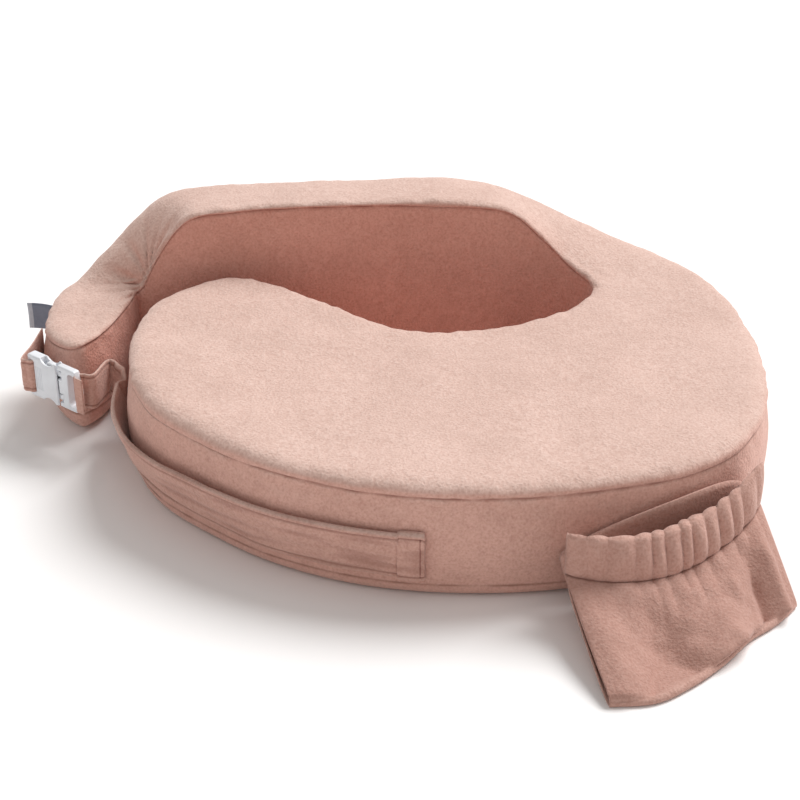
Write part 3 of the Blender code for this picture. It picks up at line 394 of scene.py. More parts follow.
# %% ribs
RIBS = [
    ((-0.168, 0.124), (-0.132, 0.127), 0.1120),
    ((-0.199, 0.102), (-0.103, 0.116), 0.1112),
    ((-0.219, 0.066), (-0.078, 0.094), 0.1094),
    ((-0.2265, 0.016), (-0.052, 0.071), 0.1072),
    ((-0.222, -0.034), (-0.028, 0.053), 0.1048),
    ((-0.203, -0.080), (-0.004, 0.039), 0.1022),
    ((-0.168, -0.122), (0.020, 0.031), 0.1000),
    ((-0.120, -0.167), (0.042, 0.028), 0.1000),
    ((-0.062, -0.201), (0.062, 0.028), 0.1000),
    ((0.000, -0.220), (0.084, 0.031), 0.1000),
    ((0.070, -0.227), (0.106, 0.038), 0.1000),
    ((0.140, -0.221), (0.128, 0.049), 0.1000),
    ((0.200, -0.205), (0.148, 0.061), 0.1000),
    ((0.247, -0.172), (0.164, 0.074), 0.1000),
    ((0.280, -0.120), (0.175, 0.086), 0.1000),
    ((0.298, -0.055), (0.181, 0.097), 0.1000),
    ((0.304, 0.012), (0.184, 0.107), 0.1000),
    ((0.300, 0.075), (0.184, 0.117), 0.1007),
    ((0.285, 0.128), (0.181, 0.126), 0.1014),
    ((0.254, 0.173), (0.174, 0.134), 0.1049),
    ((0.211, 0.202), (0.162, 0.142), 0.1140),
    ((0.162, 0.215), (0.142, 0.148), 0.1343),
    ((0.110, 0.218), (0.110, 0.151), 0.1595),
    ((0.050, 0.218), (0.050, 0.152), 0.1679),
    ((-0.020, 0.218), (-0.020, 0.152), 0.1700),
    ((-0.090, 0.218), (-0.085, 0.152), 0.1700),
    ((-0.150, 0.218), (-0.140, 0.151), 0.1679),
    ((-0.200, 0.214), (-0.178, 0.150), 0.1616),
    ((-0.244, 0.202), (-0.205, 0.149), 0.1280),
    ((-0.278, 0.182), (-0.220, 0.1485), 0.1000),
    ((-0.295, 0.163), (-0.228, 0.148), 0.0940),
    ((-0.303, 0.137), (-0.235, 0.124), 0.0920),
    ((-0.306, 0.113), (-0.244, 0.097), 0.0900),
    ((-0.305, 0.092), (-0.256, 0.069), 0.0900),
    ((-0.302, 0.082), (-0.2685, 0.044), 0.0900),
]
LAST = len(RIBS) - 1
ARM_RIB = 30                    # the rib at the arm's bend
OUTER_ROLL = 12.0 * MM          # how far the outer seam lies below the top
INNER_ROLL = 5.0 * MM
FOOT = 12.0 * MM                # height of the lower seam
OUTER_RAIL = [Vector((o[0] + ORIGIN.x, o[1] + ORIGIN.y)) for o, i, top in RIBS]
INNER_RAIL = [Vector((i[0] + ORIGIN.x, i[1] + ORIGIN.y)) for o, i, top in RIBS]
TOPS = [top for o, i, top in RIBS]


def smooth_value(values, t):
    """Value at t on the smooth curve through evenly counted values."""
    last = len(values) - 1
    i = min(int(t), last - 1)
    f = t - i
    p1 = values[i]
    p2 = values[i + 1]
    p0 = values[i - 1] if i > 0 else p1 * 2 - p2
    p3 = values[i + 2] if i + 2 <= last else p2 * 2 - p1
    return 0.5 * (2 * p1 + (p2 - p0) * f + (2 * p0 - 5 * p1 + 4 * p2 - p3) * f ** 2
                  + (3 * p1 - p0 - 3 * p2 + p3) * f ** 3)


def wall_frame(t):
    """Seam point and outward direction of the outer wall at rib t."""
    here = smooth_value(OUTER_RAIL, t)
    along = smooth_value(OUTER_RAIL, min(t + 0.05, LAST)) - smooth_value(OUTER_RAIL, max(t - 0.05, 0.0))
    out = Vector((along.y, -along.x)).normalized()
    if (smooth_value(INNER_RAIL, t) - here).dot(out) > 0:
        out = -out
    return here, out


def walk(t, distance):
    """Rib reached by going this far along the outer seam."""
    step = 0.004 if distance > 0 else -0.004
    here = smooth_value(OUTER_RAIL, t)
    gone = 0.0
    while gone < abs(distance):
        t += step
        there = smooth_value(OUTER_RAIL, t)
        gone += (there - here).length
        here = there
    return t


print("ribs:", len(RIBS))

# %% [markdown]
# ## The cover's outline
# The top, the wall and the underside share one closed outline: out along the outer seam, round the
# free end, back along the inner seam and across the arm's end. Points sit about 7 mm apart.

# %% outline
ACROSS = 12
END_CLEAR = 0.30                # the first rib after an end, which the rolled edge needs free
ts = [0.0] + list(np.linspace(END_CLEAR * 1.3, LAST - 0.9, 262)) + [LAST]
STATIONS = len(ts) - 1


def end_arc(first, last, out, top, first_roll, last_roll):
    """Points across a free end, bulging outwards."""
    rows = []
    for k in range(1, ACROSS):
        share = k / ACROSS
        place = first + (last - first) * share + out * BULGE * math.sin(math.pi * share)
        rows.append((place, top, first_roll + (last_roll - first_roll) * share))
    return rows


def end_direction(t_end, t_in):
    ends = smooth_value(OUTER_RAIL, t_end) + smooth_value(INNER_RAIL, t_end)
    back = smooth_value(OUTER_RAIL, t_in) + smooth_value(INNER_RAIL, t_in)
    return (ends - back).normalized()


loop = [(smooth_value(OUTER_RAIL, t), smooth_value(TOPS, t), OUTER_ROLL) for t in reversed(ts)]
loop += end_arc(OUTER_RAIL[0], INNER_RAIL[0], end_direction(0.0, 0.6), TOPS[0], OUTER_ROLL, INNER_ROLL)
loop += [(smooth_value(INNER_RAIL, t), smooth_value(TOPS, t), INNER_ROLL) for t in ts]
loop += end_arc(INNER_RAIL[-1], OUTER_RAIL[-1], end_direction(LAST, LAST - 1), TOPS[-1],
                INNER_ROLL, OUTER_ROLL)
COUNT = len(loop)
line = np.array([tuple(p[0]) for p in loop])
tops = np.array([p[1] for p in loop])
rolls = np.array([p[2] for p in loop])
loop_rib = np.array(list(reversed(ts)) + [0.0] * (ACROSS - 1) + ts + [LAST] * (ACROSS - 1))
near_end = loop_rib > LAST - 1.0
for _ in range(10):             # round the two corners of the arm's end
    eased = 0.5 * line + 0.25 * (np.roll(line, 1, 0) + np.roll(line, -1, 0))
    line[near_end] = eased[near_end]
along = np.roll(line, -1, 0) - np.roll(line, 1, 0)
along /= np.linalg.norm(along, axis=1)[:, None]
turning = np.sum(line[:, 0] * np.roll(line[:, 1], -1) - line[:, 1] * np.roll(line[:, 0], -1))
inward = np.stack([-along[:, 1], along[:, 0]], 1) * (1.0 if turning > 0 else -1.0)
for _ in range(6):              # soften the turn of the edge at the corners
    inward = inward + 0.5 * (np.roll(inward, 1, 0) + np.roll(inward, -1, 0))
    inward /= np.linalg.norm(inward, axis=1)[:, None]
for _ in range(3):
    tops = 0.5 * tops + 0.25 * (np.roll(tops, 1) + np.roll(tops, -1))
edge_length = float(np.linalg.norm(np.roll(line, -1, 0) - line, axis=1).sum())
print("outline points:", COUNT, "length", round(edge_length, 3), "m")

# %% [markdown]
# ## Sewing the cover
# Each outline point carries one profile, from under the pillow, up the wall, over the top seam and
# onto the top panel. Narrow rows on both sides of each seam let the seam pull in, and a fine dark line
# of painted shade is drawn along it.

# %% cover grid
NARROW = 1.1 * MM
SHRINK = 1.2 * MM               # the walls are drafted this much inside their full size
WALL_ROWS = 9


def profile(top, roll, rib=0.0):
    """(inset, height, pinned, seam) rows from the underside to the top panel; seam rows get painted shade.
    """
    seam_z = top - roll
    near = min(NARROW, 0.22 * roll)
    grown = min(max((rib - 28.6) / 2.0, 0.0), 1.0)      # the arm's foot is rounder
    foot = FOOT + 8.0 * MM * grown
    tuck = 0.9 * roll + (16.0 * MM - 0.9 * roll) * grown
    rows = [(1.6 * roll + 8.0 * MM * grown, 0.0, 1, 0), (tuck, 0.0, 1, 0), (0.45 * tuck, 0.14 * foot, 1, 0),
            (0.17 * tuck, 0.44 * foot, 1, 0), (0.0, foot - NARROW, 1, 0), (0.9 * MM, foot, 1, 1),
            (0.0, foot + NARROW, 1, 0)]
    for k in range(1, WALL_ROWS + 1):
        share = k / (WALL_ROWS + 1)
        z = foot + (seam_z - foot) * share
        rows.append((-BULGE * math.sin(math.pi * share) + SHRINK, z, 0, 0))
    rows += [(0.2 * MM, seam_z - near, 1, 0), (1.3 * MM, seam_z, 1, 1), (0.1 * MM, seam_z + near, 1, 0)]
    rows += [(-0.05 * roll, top - 0.66 * roll, 0, 0), (0.12 * roll, top - 0.36 * roll, 0, 0),
             (0.50 * roll, top - 0.13 * roll, 0, 0), (1.0 * roll, top - 0.02 * roll, 0, 0),
             (1.7 * roll, top, 0, 0)]
    return rows


points = []
pins = []
seams = []
inside = []
ribs_of = []
ROWS = len(profile(0.1, OUTER_ROLL))
for p in range(COUNT):
    inner_side = STATIONS + ACROSS <= p <= 2 * STATIONS + ACROSS
    for r, (inset, z, pin, seam) in enumerate(profile(tops[p], rolls[p], loop_rib[p])):
        xy = line[p] + inward[p] * inset
        points.append((xy[0], xy[1], z))
        pins.append(pin)
        seams.append(seam)
        # the inner wall below the top's roll is marked for painted shade
        inside.append(1.0 if inner_side and r < ROWS - 5 else 0.0)
        ribs_of.append(loop_rib[p])
faces = []
for p in range(COUNT):
    n = (p + 1) % COUNT
    for r in range(ROWS - 1):
        faces.append((p * ROWS + r, n * ROWS + r, n * ROWS + r + 1, p * ROWS + r + 1))


def flat_panel(row, flip, pin):
    """Fill between the two sides of the outline at this profile row."""
    grid = []
    for s in range(STATIONS + 1):
        a = (STATIONS - s) * ROWS + row
        b = (STATIONS + ACROSS + s) * ROWS + row
        if s == 0:
            grid.append([(STATIONS + k) * ROWS + row for k in range(ACROSS + 1)])
        elif s == STATIONS:
            ends = [(COUNT - k) % COUNT for k in range(ACROSS + 1)]
            grid.append([e * ROWS + row for e in ends])
        else:
            middle = []
            for k in range(1, ACROSS):
                middle.append(len(points))
                points.append(tuple(Vector(points[a]).lerp(Vector(points[b]), k / ACROSS)))
                pins.append(pin)
                seams.append(0)
                inside.append(0.0)
                ribs_of.append(ts[s])
            grid.append([a] + middle + [b])
    for low, high in zip(grid, grid[1:]):
        for k in range(ACROSS):
            quad = (low[k], low[k + 1], high[k + 1], high[k])
            faces.append(quad[::-1] if flip else quad)


flat_panel(ROWS - 1, False, 0)
flat_panel(0, True, 1)
cover = new_piece("cover", points, faces, PLUSH_COVER)
face_out(cover)
mark(cover, "seam", seams)
mark(cover, "inside", inside)
mark(cover, "rib", ribs_of)
print("cover grid:", len(points), "points,", len(faces), "faces")

# %% [markdown]
# ## Stuffing the cover
# The foam pushes the cloth out between the seams. A short cloth simulation with inside pressure is
# meant to give that, with the seams and the underside pinned. At these settings it moves nothing:
# on the inner side of the arm's foot two rows of points share one place, and the printed travel is
# zero. The fullness that shows is the drafted profile's own.

# %% cloth pressure
PUFF_CAP = 4.0 * MM
PUFF_FRAMES = 18


def puff(obj, pinned, pressure, cap):
    start = places(obj)
    group = obj.vertex_groups.new(name="sewn")
    group.add([int(i) for i in np.nonzero(pinned)[0]], 1.0, "REPLACE")
    cloth = obj.modifiers.new("stuffing", "CLOTH")
    cloth.settings.quality = 4
    cloth.settings.mass = 0.25
    cloth.settings.tension_stiffness = 12.0
    cloth.settings.compression_stiffness = 12.0
    cloth.settings.bending_stiffness = 0.6
    cloth.settings.shrink_min = -0.012
    cloth.settings.use_pressure = True
    cloth.settings.uniform_pressure_force = pressure
    cloth.settings.effector_weights.gravity = 0.0
    cloth.settings.vertex_group_mass = group.name
    cloth.collision_settings.use_collision = False
    cloth.point_cache.frame_end = PUFF_FRAMES
    for step in range(1, PUFF_FRAMES + 1):
        bpy.context.scene.frame_set(step)
    graph = bpy.context.evaluated_depsgraph_get()
    made = obj.evaluated_get(graph).to_mesh()
    after = np.empty(len(made.vertices) * 3)
    made.vertices.foreach_get("co", after)
    obj.evaluated_get(graph).to_mesh_clear()
    obj.modifiers.remove(cloth)
    bpy.context.scene.frame_set(1)
    travel = after.reshape(-1, 3) - start
    far = np.linalg.norm(travel, axis=1)
    share = np.tanh(far / cap) * cap / np.maximum(far, 1e-9)
    move_to(obj, start + travel * share[:, None])
    print("largest travel", round(float(far.max()) * 1000, 1), "mm, kept under", cap * 1000)


puff(cover, np.array(pins), 3.0, PUFF_CAP)

# %% [markdown]
# ## Finer cloth, seam puckers and soft dents
# One subdivision rounds the grid. Then the surface is moved by given amounts: small puckers
# along the seams, broad shallow dents in the foam, and folds where the back drops to the arm.

# %% subdivide and dent
step = cover.modifiers.new("finer", "SUBSURF")
step.levels = 1
step.render_levels = 1
apply_steps(cover)
co = places(cover)
out = normals(cover)
seam_now = np.array([d.value for d in cover.data.attributes["seam"].data])
tree = KDTree(int((seam_now > 0.9).sum()))
for i in np.nonzero(seam_now > 0.9)[0]:
    tree.insert(Vector(co[i]), int(i))
tree.balance()
gap = np.array([tree.find(Vector(p))[2] for p in co])
free = np.clip((co[:, 2] - 6.0 * MM) / (20.0 * MM), 0.0, 1.0)
away = np.clip(gap / (4.0 * MM), 0.0, 1.0)
dent = 1.9 * MM * ripple(co, 95 * MM, 1) + 1.0 * MM * ripple(co, 38 * MM, 2)
pucker = 2.3 * MM * ripple(co * np.array([1.0, 1.0, 0.45]), 10 * MM, 3) * np.exp(-gap / (9.0 * MM))
# the painted seam shade comes and goes along each seam
mark(cover, "seam", seam_now * np.clip(0.75 + 0.7 * ripple(co, 14 * MM, 8), 0.25, 1.0))
co = co + out * ((dent + pucker * away) * free)[:, None]

# folds fan out from the foot of the back's left shoulder onto the arm
FOLD_AT = ORIGIN + Vector((-0.216, 0.152, 0.104))
fold_reach = np.linalg.norm((co - np.array(FOLD_AT)) * np.array([1.0, 1.0, 0.6]), axis=1)
fold_turn = np.arctan2(co[:, 1] - FOLD_AT.y, co[:, 0] - FOLD_AT.x)
fold_ridge = np.maximum(0.0, np.cos(fold_turn * 11.0 + 1.2))
folds = -2.4 * MM * fold_ridge * np.exp(-((fold_reach - 0.018) / 0.024) ** 2)
on_top = (out[:, 2] > 0.25).astype(float)
co = co + out * (folds * on_top)[:, None]
co[:, 2] = np.maximum(co[:, 2], 0.0)
for node in ("zip_tape_upper", "zip_tape_lower", "care_label"):    # flat seat for the sewn-on goods
    low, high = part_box(node)
    side = (co[:, 0] > low.x - 6 * MM) & (co[:, 0] < high.x + 6 * MM) & (co[:, 1] > low.y - 12 * MM)
    side &= (co[:, 2] > low.z - 4 * MM) & (co[:, 2] < high.z + 4 * MM)
    co[side, 1] = np.minimum(co[side, 1], low.y - 0.5 * MM)
move_to(cover, co)
# painted top light, where the cover faces up
mark_painted_top_light(cover)
print("cover:", len(cover.data.polygons), "faces")

# %% [markdown]
# ## Where the arm bends
# The cover runs over the bend without a break, so it is one skin. It is parted along a rib before the
# bend, and both parts keep the same edge and shading.

# %% part the arm's skin
PART_RIB = 27.6
smooth_normals = normals(cover)
vector_mark = cover.data.attributes.new("shade", "FLOAT_VECTOR", "POINT")
vector_mark.data.foreach_set("vector", smooth_normals.astype(np.float32).ravel())
rib_now = np.array([d.value for d in cover.data.attributes["rib"].data])
take(cover)
bpy.ops.object.mode_set(mode="EDIT")
bpy.ops.mesh.select_mode(type="FACE")
bpy.ops.mesh.select_all(action="DESELECT")
bpy.ops.object.mode_set(mode="OBJECT")
for face in cover.data.polygons:
    face.select = bool(min(rib_now[v] for v in face.vertices) >= PART_RIB)
bpy.ops.object.mode_set(mode="EDIT")
bpy.ops.mesh.separate(type="SELECTED")
bpy.ops.object.mode_set(mode="OBJECT")
arm_cover = [o for o in bpy.context.selected_objects if o != cover][0]
arm_cover.name = "arm_cover"
for piece in (cover, arm_cover):
    kept = np.empty(len(piece.data.vertices) * 3)
    piece.data.attributes["shade"].data.foreach_get("vector", kept)
    piece.data.normals_split_custom_set_from_vertices([tuple(n) for n in kept.reshape(-1, 3)])
    piece.data.attributes.remove(piece.data.attributes["shade"])
    piece.vertex_groups.clear()
slit_out = Vector((*OUTER_RAIL[ARM_RIB], 0.0))
slit_in = Vector((*INNER_RAIL[ARM_RIB], 0.0))
slit = (slit_in - slit_out).normalized()
arm_way = Vector((slit.y, -slit.x, 0.0))
if arm_way.y > 0:
    arm_way = -arm_way
cover_skin = BVHTree.FromPolygons([tuple(v.co) for v in cover.data.vertices],
                                  [tuple(f.vertices) for f in cover.data.polygons])
arm_skin = BVHTree.FromPolygons([tuple(v.co) for v in arm_cover.data.vertices],
                                [tuple(f.vertices) for f in arm_cover.data.polygons])
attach(cover, "base")
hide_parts("cover_top_panel", "cover_outer_band", "cover_inner_band", "cover_underside_panel",
            "platform_foam", "backrest_foam")
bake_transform(arm_cover)
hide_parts("arm_top_panel", "arm_outer_band", "arm_inner_band", "arm_underside_panel",
            "arm_foam")
print("parted:", len(cover.data.polygons), len(arm_cover.data.polygons))


# %% [markdown]
# ## Straps as folded cloth
# A strap is a tube of the cover's plush, turned and pressed flat, with a row of stitches along both
# edges. A band is laid along a route: its front is softly crowned, and it dips at the stitch rows.

# %% band maker
HEM_STITCH = 4.6 * MM


def band(name, centres, ways, outs, widths, thick, finish, crease=0.6 * MM, seed=4, stitch=HEM_STITCH,
         groove=0.55 * MM):
    """Closed band. centres, across directions and outward directions are given at every step."""
    across = np.linspace(-0.5, 0.5, 41)
    total = len(centres)
    front = []
    back = []
    stitch_and_crease_shade = []
    hops = [(Vector(b) - Vector(a)).length for a, b in zip(centres, centres[1:])]
    run = np.concatenate([[0.0], np.cumsum(hops)])
    for k in range(total):
        width = widths[k]
        for a in across:
            edge = (0.5 - abs(a)) * width
            rise = thick * (1.0 - math.exp(-edge / (1.1 * MM))) * 0.55
            rise -= groove * math.exp(-((edge - stitch) / (1.0 * MM)) ** 2)
            lane = noise.noise(Vector((run[k] / 0.055, a * width / 0.0065, seed)))
            rise += crease * lane * min(1.0, edge / (5 * MM))
            place = Vector(centres[k]) + Vector(ways[k]) * a * width
            front.append(place + Vector(outs[k]) * (thick * 0.45 + rise))
            back.append(place)
            # painted shade in the creases' valleys and along both stitch rows
            crease_shade = min(0.4, max(0.0, -0.9 * lane)) * min(1.0, crease / MM)
            stitch_and_crease_shade.append(max(0.9 * math.exp(-((edge - stitch) / (0.8 * MM)) ** 2), crease_shade))
    cols = len(across)
    faces_ = []
    shift = total * cols
    for k in range(total - 1):
        for c in range(cols - 1):
            a = k * cols + c
            faces_.append((a, a + 1, a + cols + 1, a + cols))
            faces_.append((a + shift, a + cols + shift, a + cols + 1 + shift, a + 1 + shift))
        for c, flip in ((0, False), (cols - 1, True)):
            a = k * cols + c
            quad = (a, a + cols, a + cols + shift, a + shift)
            faces_.append(quad[::-1] if flip else quad)
    for k, flip in ((0, True), (total - 1, False)):
        for c in range(cols - 1):
            a = k * cols + c
            quad = (a, a + 1, a + 1 + shift, a + shift)
            faces_.append(quad[::-1] if flip else quad)
    made = new_piece(name, front + back, faces_, finish)
    mark(made, "seam", stitch_and_crease_shade + [0.0] * len(back))
    face_out(made)
    # painted top light, where the band faces up
    mark_painted_top_light(made)
    return made


def thread_line(name, route, radius, finish):
    """Fine round thread along a route."""
    rings = []
    for k, point in enumerate(route):
        before = Vector(route[max(k - 1, 0)])
        after = Vector(route[min(k + 1, len(route) - 1)])
        way = (after - before).normalized()
        guide = Vector((0.0, 0.0, 1.0)) if abs(way.z) < 0.8 else Vector((1.0, 0.0, 0.0))
        side = way.cross(guide).normalized()
        rise = side.cross(way)
        rings.append([Vector(point) + side * radius * math.cos(q) + rise * radius * math.sin(q)
                      for q in np.linspace(0, 2 * math.pi, 7)[:-1]])
    pts = [p for ring in rings for p in ring]
    faces_ = [tuple(range(6))[::-1], tuple(len(pts) - 6 + k for k in range(6))]
    for k in range(len(rings) - 1):
        for q in range(6):
            n = (q + 1) % 6
            faces_.append((k * 6 + q, k * 6 + n, k * 6 + 6 + n, k * 6 + 6 + q))
    return face_out(new_piece(name, pts, faces_, finish))


def wall_hit(t, z, skin=None):
    """Place on the finished cover's outer wall at rib t and height z, and the outward direction."""
    here, out_ = wall_frame(t)
    way = Vector((out_.x, out_.y, 0.0))
    start = Vector((here.x, here.y, z)) + way * 0.03
    hit = (skin or cover_skin).ray_cast(start, -way, 0.06)[0]
    return (hit or Vector((here.x, here.y, z)) + way * BULGE), way


print("band and thread makers ready")

# %% [markdown]
# ## The wrap strap
# Its sewn end sits low on the front wall. From there it runs round the platform's free end, stands
# a little off the wall, and crosses to the buckle on the arm.

# %% wrap strap
STRAP_FOOT = 19.0 * MM
STRAP_WIDTH = 42.0 * MM
STRAP_MID = STRAP_FOOT + STRAP_WIDTH / 2
END_RIB = 8.98
FREE_RIB = 2.67
BOX = 18.0 * MM
joint = {j["name"]: j for j in frame["joints"]}
pull_way = Vector(joint["buckle_slide"]["axis"]).normalized()
buckle_in = Vector((-pull_way.y, pull_way.x, 0.0))
pivots = [Vector(joint[n]["pos_m"]) for n in ("prong_upper_squeeze", "prong_lower_squeeze")]
BUCKLE = (pivots[0] + pivots[1]) / 2 - pull_way * 7.0 * MM
print("buckle middle", [round(v, 4) for v in BUCKLE])

centres = []
ways = []
outs = []
box_rib = walk(END_RIB, -BOX)
lean_ts = np.linspace(box_rib, FREE_RIB, 150)
for t in lean_ts:
    share = (box_rib - t) / (box_rib - FREE_RIB)
    low, way = wall_hit(t, STRAP_FOOT + 4 * MM)
    high, way = wall_hit(t, STRAP_FOOT + STRAP_WIDTH - 4 * MM)
    rise = (high - low).normalized()
    rise = (rise + way * (0.07 + 0.24 * share)).normalized()
    centres.append((low + high) / 2 + way * (1.3 * MM + 4.2 * MM * share ** 1.5))
    ways.append(rise)
    outs.append(way)
PLUG_RING = 4.6 * MM + 26.0 * MM
bar = BUCKLE + pull_way * (PLUG_RING - 1.8 * MM)
free_end = centres[-1]
last_way = outs[-1]
z_up = Vector((0.0, 0.0, 1.0))
cross = [
    Vector(free_end),
    Vector((free_end.x - 0.0010, free_end.y + 0.010, STRAP_MID + 3 * MM)),
    Vector((free_end.x - 0.0060, free_end.y + 0.020, STRAP_MID + 9 * MM)),
    Vector((free_end.x - 0.0170, free_end.y + 0.0225, STRAP_MID + 14 * MM)),
]
ring_route = [
    bar + buckle_in * 11.0 * MM + pull_way * 6 * MM,
    bar + buckle_in * 5.6 * MM,
    bar - pull_way * 3.4 * MM + buckle_in * 2.6 * MM,
    bar - pull_way * 3.6 * MM - buckle_in * 2.4 * MM,
    bar - buckle_in * 5.2 * MM + pull_way * 0.4 * MM,
    bar - buckle_in * 5.0 * MM + pull_way * 8.0 * MM,
]
whole = cross + ring_route
SPLIT = 3.0                     # the strap's two visible pieces meet here, half way across


def route_frames(points_, first, last, count, flat_out):
    mids = [smooth_value(points_, first + (last - first) * k / count) for k in range(count + 1)]
    ways_ = []
    outs_ = []
    for k in range(count + 1):
        t = first + (last - first) * k / count
        ahead = smooth_value(points_, min(t + 0.05, len(points_) - 1))
        step_ = ahead - smooth_value(points_, max(t - 0.05, 0.0))
        flat = Vector((step_.x, step_.y, 0.0)).normalized()
        outs_.append(Vector((flat.y, -flat.x, 0.0)) * flat_out)
        ways_.append((z_up - step_.normalized() * step_.normalized().z * 0.6).normalized())
    return mids, ways_, outs_


free_mid, free_way, free_out = route_frames(whole, 0.0, SPLIT, 30, -1.0)
turn = 1.0 if free_out[0].dot(last_way) > 0 else -1.0
free_out = [v * turn for v in free_out]
for k in range(len(free_out)):
    share = min(1.0, k / 6.0)
    free_out[k] = (last_way * (1 - share) + free_out[k] * share).normalized()
    free_way[k] = (ways[-1] * (1 - share) + free_way[k] * share).normalized()
centres += free_mid[1:]
ways += free_way[1:]
outs += free_out[1:]
NARROWED = 33.0 * MM
widths = [STRAP_WIDTH] * 150
for k in range(1, 31):
    widths.append(STRAP_WIDTH + (NARROWED - STRAP_WIDTH) * min(1.0, k / 24.0))
STRAP_THICK = 4.2 * MM
wrap_strap = band("wrap_strap_cloth", centres, ways, outs, widths, STRAP_THICK, PLUSH_STRAP, 1.5 * MM,
                  groove=1.1 * MM)
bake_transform(wrap_strap)
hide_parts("wrap_strap")

# %% sewn end of the strap
box_centres = []
box_ways = []
box_outs = []
for t in np.linspace(walk(box_rib, -1.0 * MM), END_RIB + 0.02, 26):
    low, way = wall_hit(t, STRAP_FOOT + 2 * MM)
    high, way = wall_hit(t, STRAP_FOOT + STRAP_WIDTH - 2 * MM)
    box_centres.append((low + high) / 2 + way * 0.8 * MM)
    box_ways.append((high - low).normalized())
    box_outs.append(way)
box_widths = [STRAP_WIDTH + 2.2 * MM * min(1.0, k / 3) - 3.0 * MM * max(0.0, (k - 22) / 3) ** 2
              for k in range(26)]
FOLD_THICK = 5.6 * MM
strap_box = band("strap_end_fold", box_centres, box_ways, box_outs, box_widths, FOLD_THICK,
                 PLUSH_STRAP, 0.9 * MM, 9,
                 groove=1.0 * MM)
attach(strap_box, "base")
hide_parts("strap_end_box")
box_line = []
for k in range(13):
    share = k / 12
    box_line.append(box_centres[21] + box_ways[21] * STRAP_WIDTH * (share - 0.5) * 0.84
                    + box_outs[21] * 5.3 * MM)
box_thread = thread_line("strap_end_stitches", box_line, 0.45 * MM, THREAD)
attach(box_thread, "base")
print("strap end fold made")

# %% strap loop through the plug's ring
loop_mid, loop_way, loop_out = route_frames(whole, SPLIT, len(whole) - 1.0, 60, -1.0)
loop_out = [v * turn for v in loop_out]
strap_loop = band("strap_loop_cloth", loop_mid, loop_way, loop_out, [NARROWED] * 61, 2.0 * MM, PLUSH_STRAP,
                  0.3 * MM, 5, 3.2 * MM)
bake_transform(strap_loop)
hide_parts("strap_loop")

# %% [markdown]
# ## The arm's short strap
# It leaves the arm's outer wall, passes round the bar at the socket's back, and is sewn to itself.

# %% arm strap
ARM_STRAP_RIB = 31.8
sewn, sewn_out = wall_hit(ARM_STRAP_RIB, BUCKLE.z, arm_skin)
SOCKET_BACK = -32.0 * MM
bar_back = BUCKLE + pull_way * (SOCKET_BACK + 1.6 * MM)
TURN = 6.4 * MM
arm_points = [
    sewn + sewn_out * 1.2 * MM,
    (sewn + bar_back - buckle_in * TURN) / 2 - buckle_in * 4 * MM,
    bar_back - buckle_in * TURN - pull_way * 6 * MM,
    bar_back - buckle_in * TURN,
    bar_back + pull_way * 4.2 * MM - buckle_in * TURN * 0.7,
    bar_back + pull_way * 4.2 * MM + buckle_in * TURN * 0.7,
    bar_back + buckle_in * TURN,
    bar_back + buckle_in * TURN - pull_way * 4 * MM,
]
arm_mid, arm_ways, arm_outs = route_frames(arm_points, 0.0, len(arm_points) - 1.0, 60, 1.0)
if arm_outs[0].dot(sewn_out) < 0:
    arm_outs = [-v for v in arm_outs]
arm_strap = band("arm_strap_cloth", arm_mid, arm_ways, arm_outs, [31.0 * MM] * 61, 1.8 * MM, PLUSH_STRAP,
                 0.3 * MM, 6, 3.2 * MM)
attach(arm_strap, "arm")
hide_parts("arm_strap")


# %% [markdown]
# ## The side release buckle
# Two mouldings clip together. The socket is a flat case with a strap bar, open at both sides where
# the prongs' heads show. The plug carries a rounded ring for the strap. Both are modelled in their
# own flat frame and then turned into place.

# %% buckle tools
TURNED = Matrix(((pull_way.x, buckle_in.x, 0.0, 0.0), (pull_way.y, buckle_in.y, 0.0, 0.0),
                 (0.0, 0.0, 1.0, 0.0), (0.0, 0.0, 0.0, 1.0)))
INTO_PLACE = Matrix.Translation(BUCKLE) @ TURNED


def block(name, low, high, edge=0.0, rings=3):
    """Box between two corners, its edges rounded by hand."""
    deselect()
    middle = [(a + b) / 2 for a, b in zip(low, high)]
    bpy.ops.mesh.primitive_cube_add(size=1.0, location=middle)
    made = bpy.context.object
    made.name = name
    made.scale = [b - a for a, b in zip(low, high)]
    settle(made)
    if edge > 0:
        bpy.ops.object.mode_set(mode="EDIT")
        bpy.ops.mesh.select_all(action="SELECT")
        bpy.ops.mesh.bevel(offset=edge, segments=rings, affect="EDGES")
        bpy.ops.object.mode_set(mode="OBJECT")
    return made


def carve(target, tool, mode="DIFFERENCE"):
    step_ = target.modifiers.new(tool.name, "BOOLEAN")
    step_.operation = mode
    step_.solver = "EXACT"
    step_.object = tool
    apply_steps(target)
    bpy.data.objects.remove(tool, do_unlink=True)


def finish_hard(obj, finish, bevel=0.35 * MM):
    """Soften the last edges, shade, and give the finish."""
    take(obj)
    step_ = obj.modifiers.new("soft_edges", "BEVEL")
    step_.width = bevel
    step_.segments = 2
    step_.limit_method = "ANGLE"
    step_.angle_limit = math.radians(40)
    apply_steps(obj)
    bpy.ops.object.shade_smooth_by_angle(angle=math.radians(42))
    obj.data.materials.clear()
    obj.data.materials.append(finish)
    return obj


print("buckle tools ready")

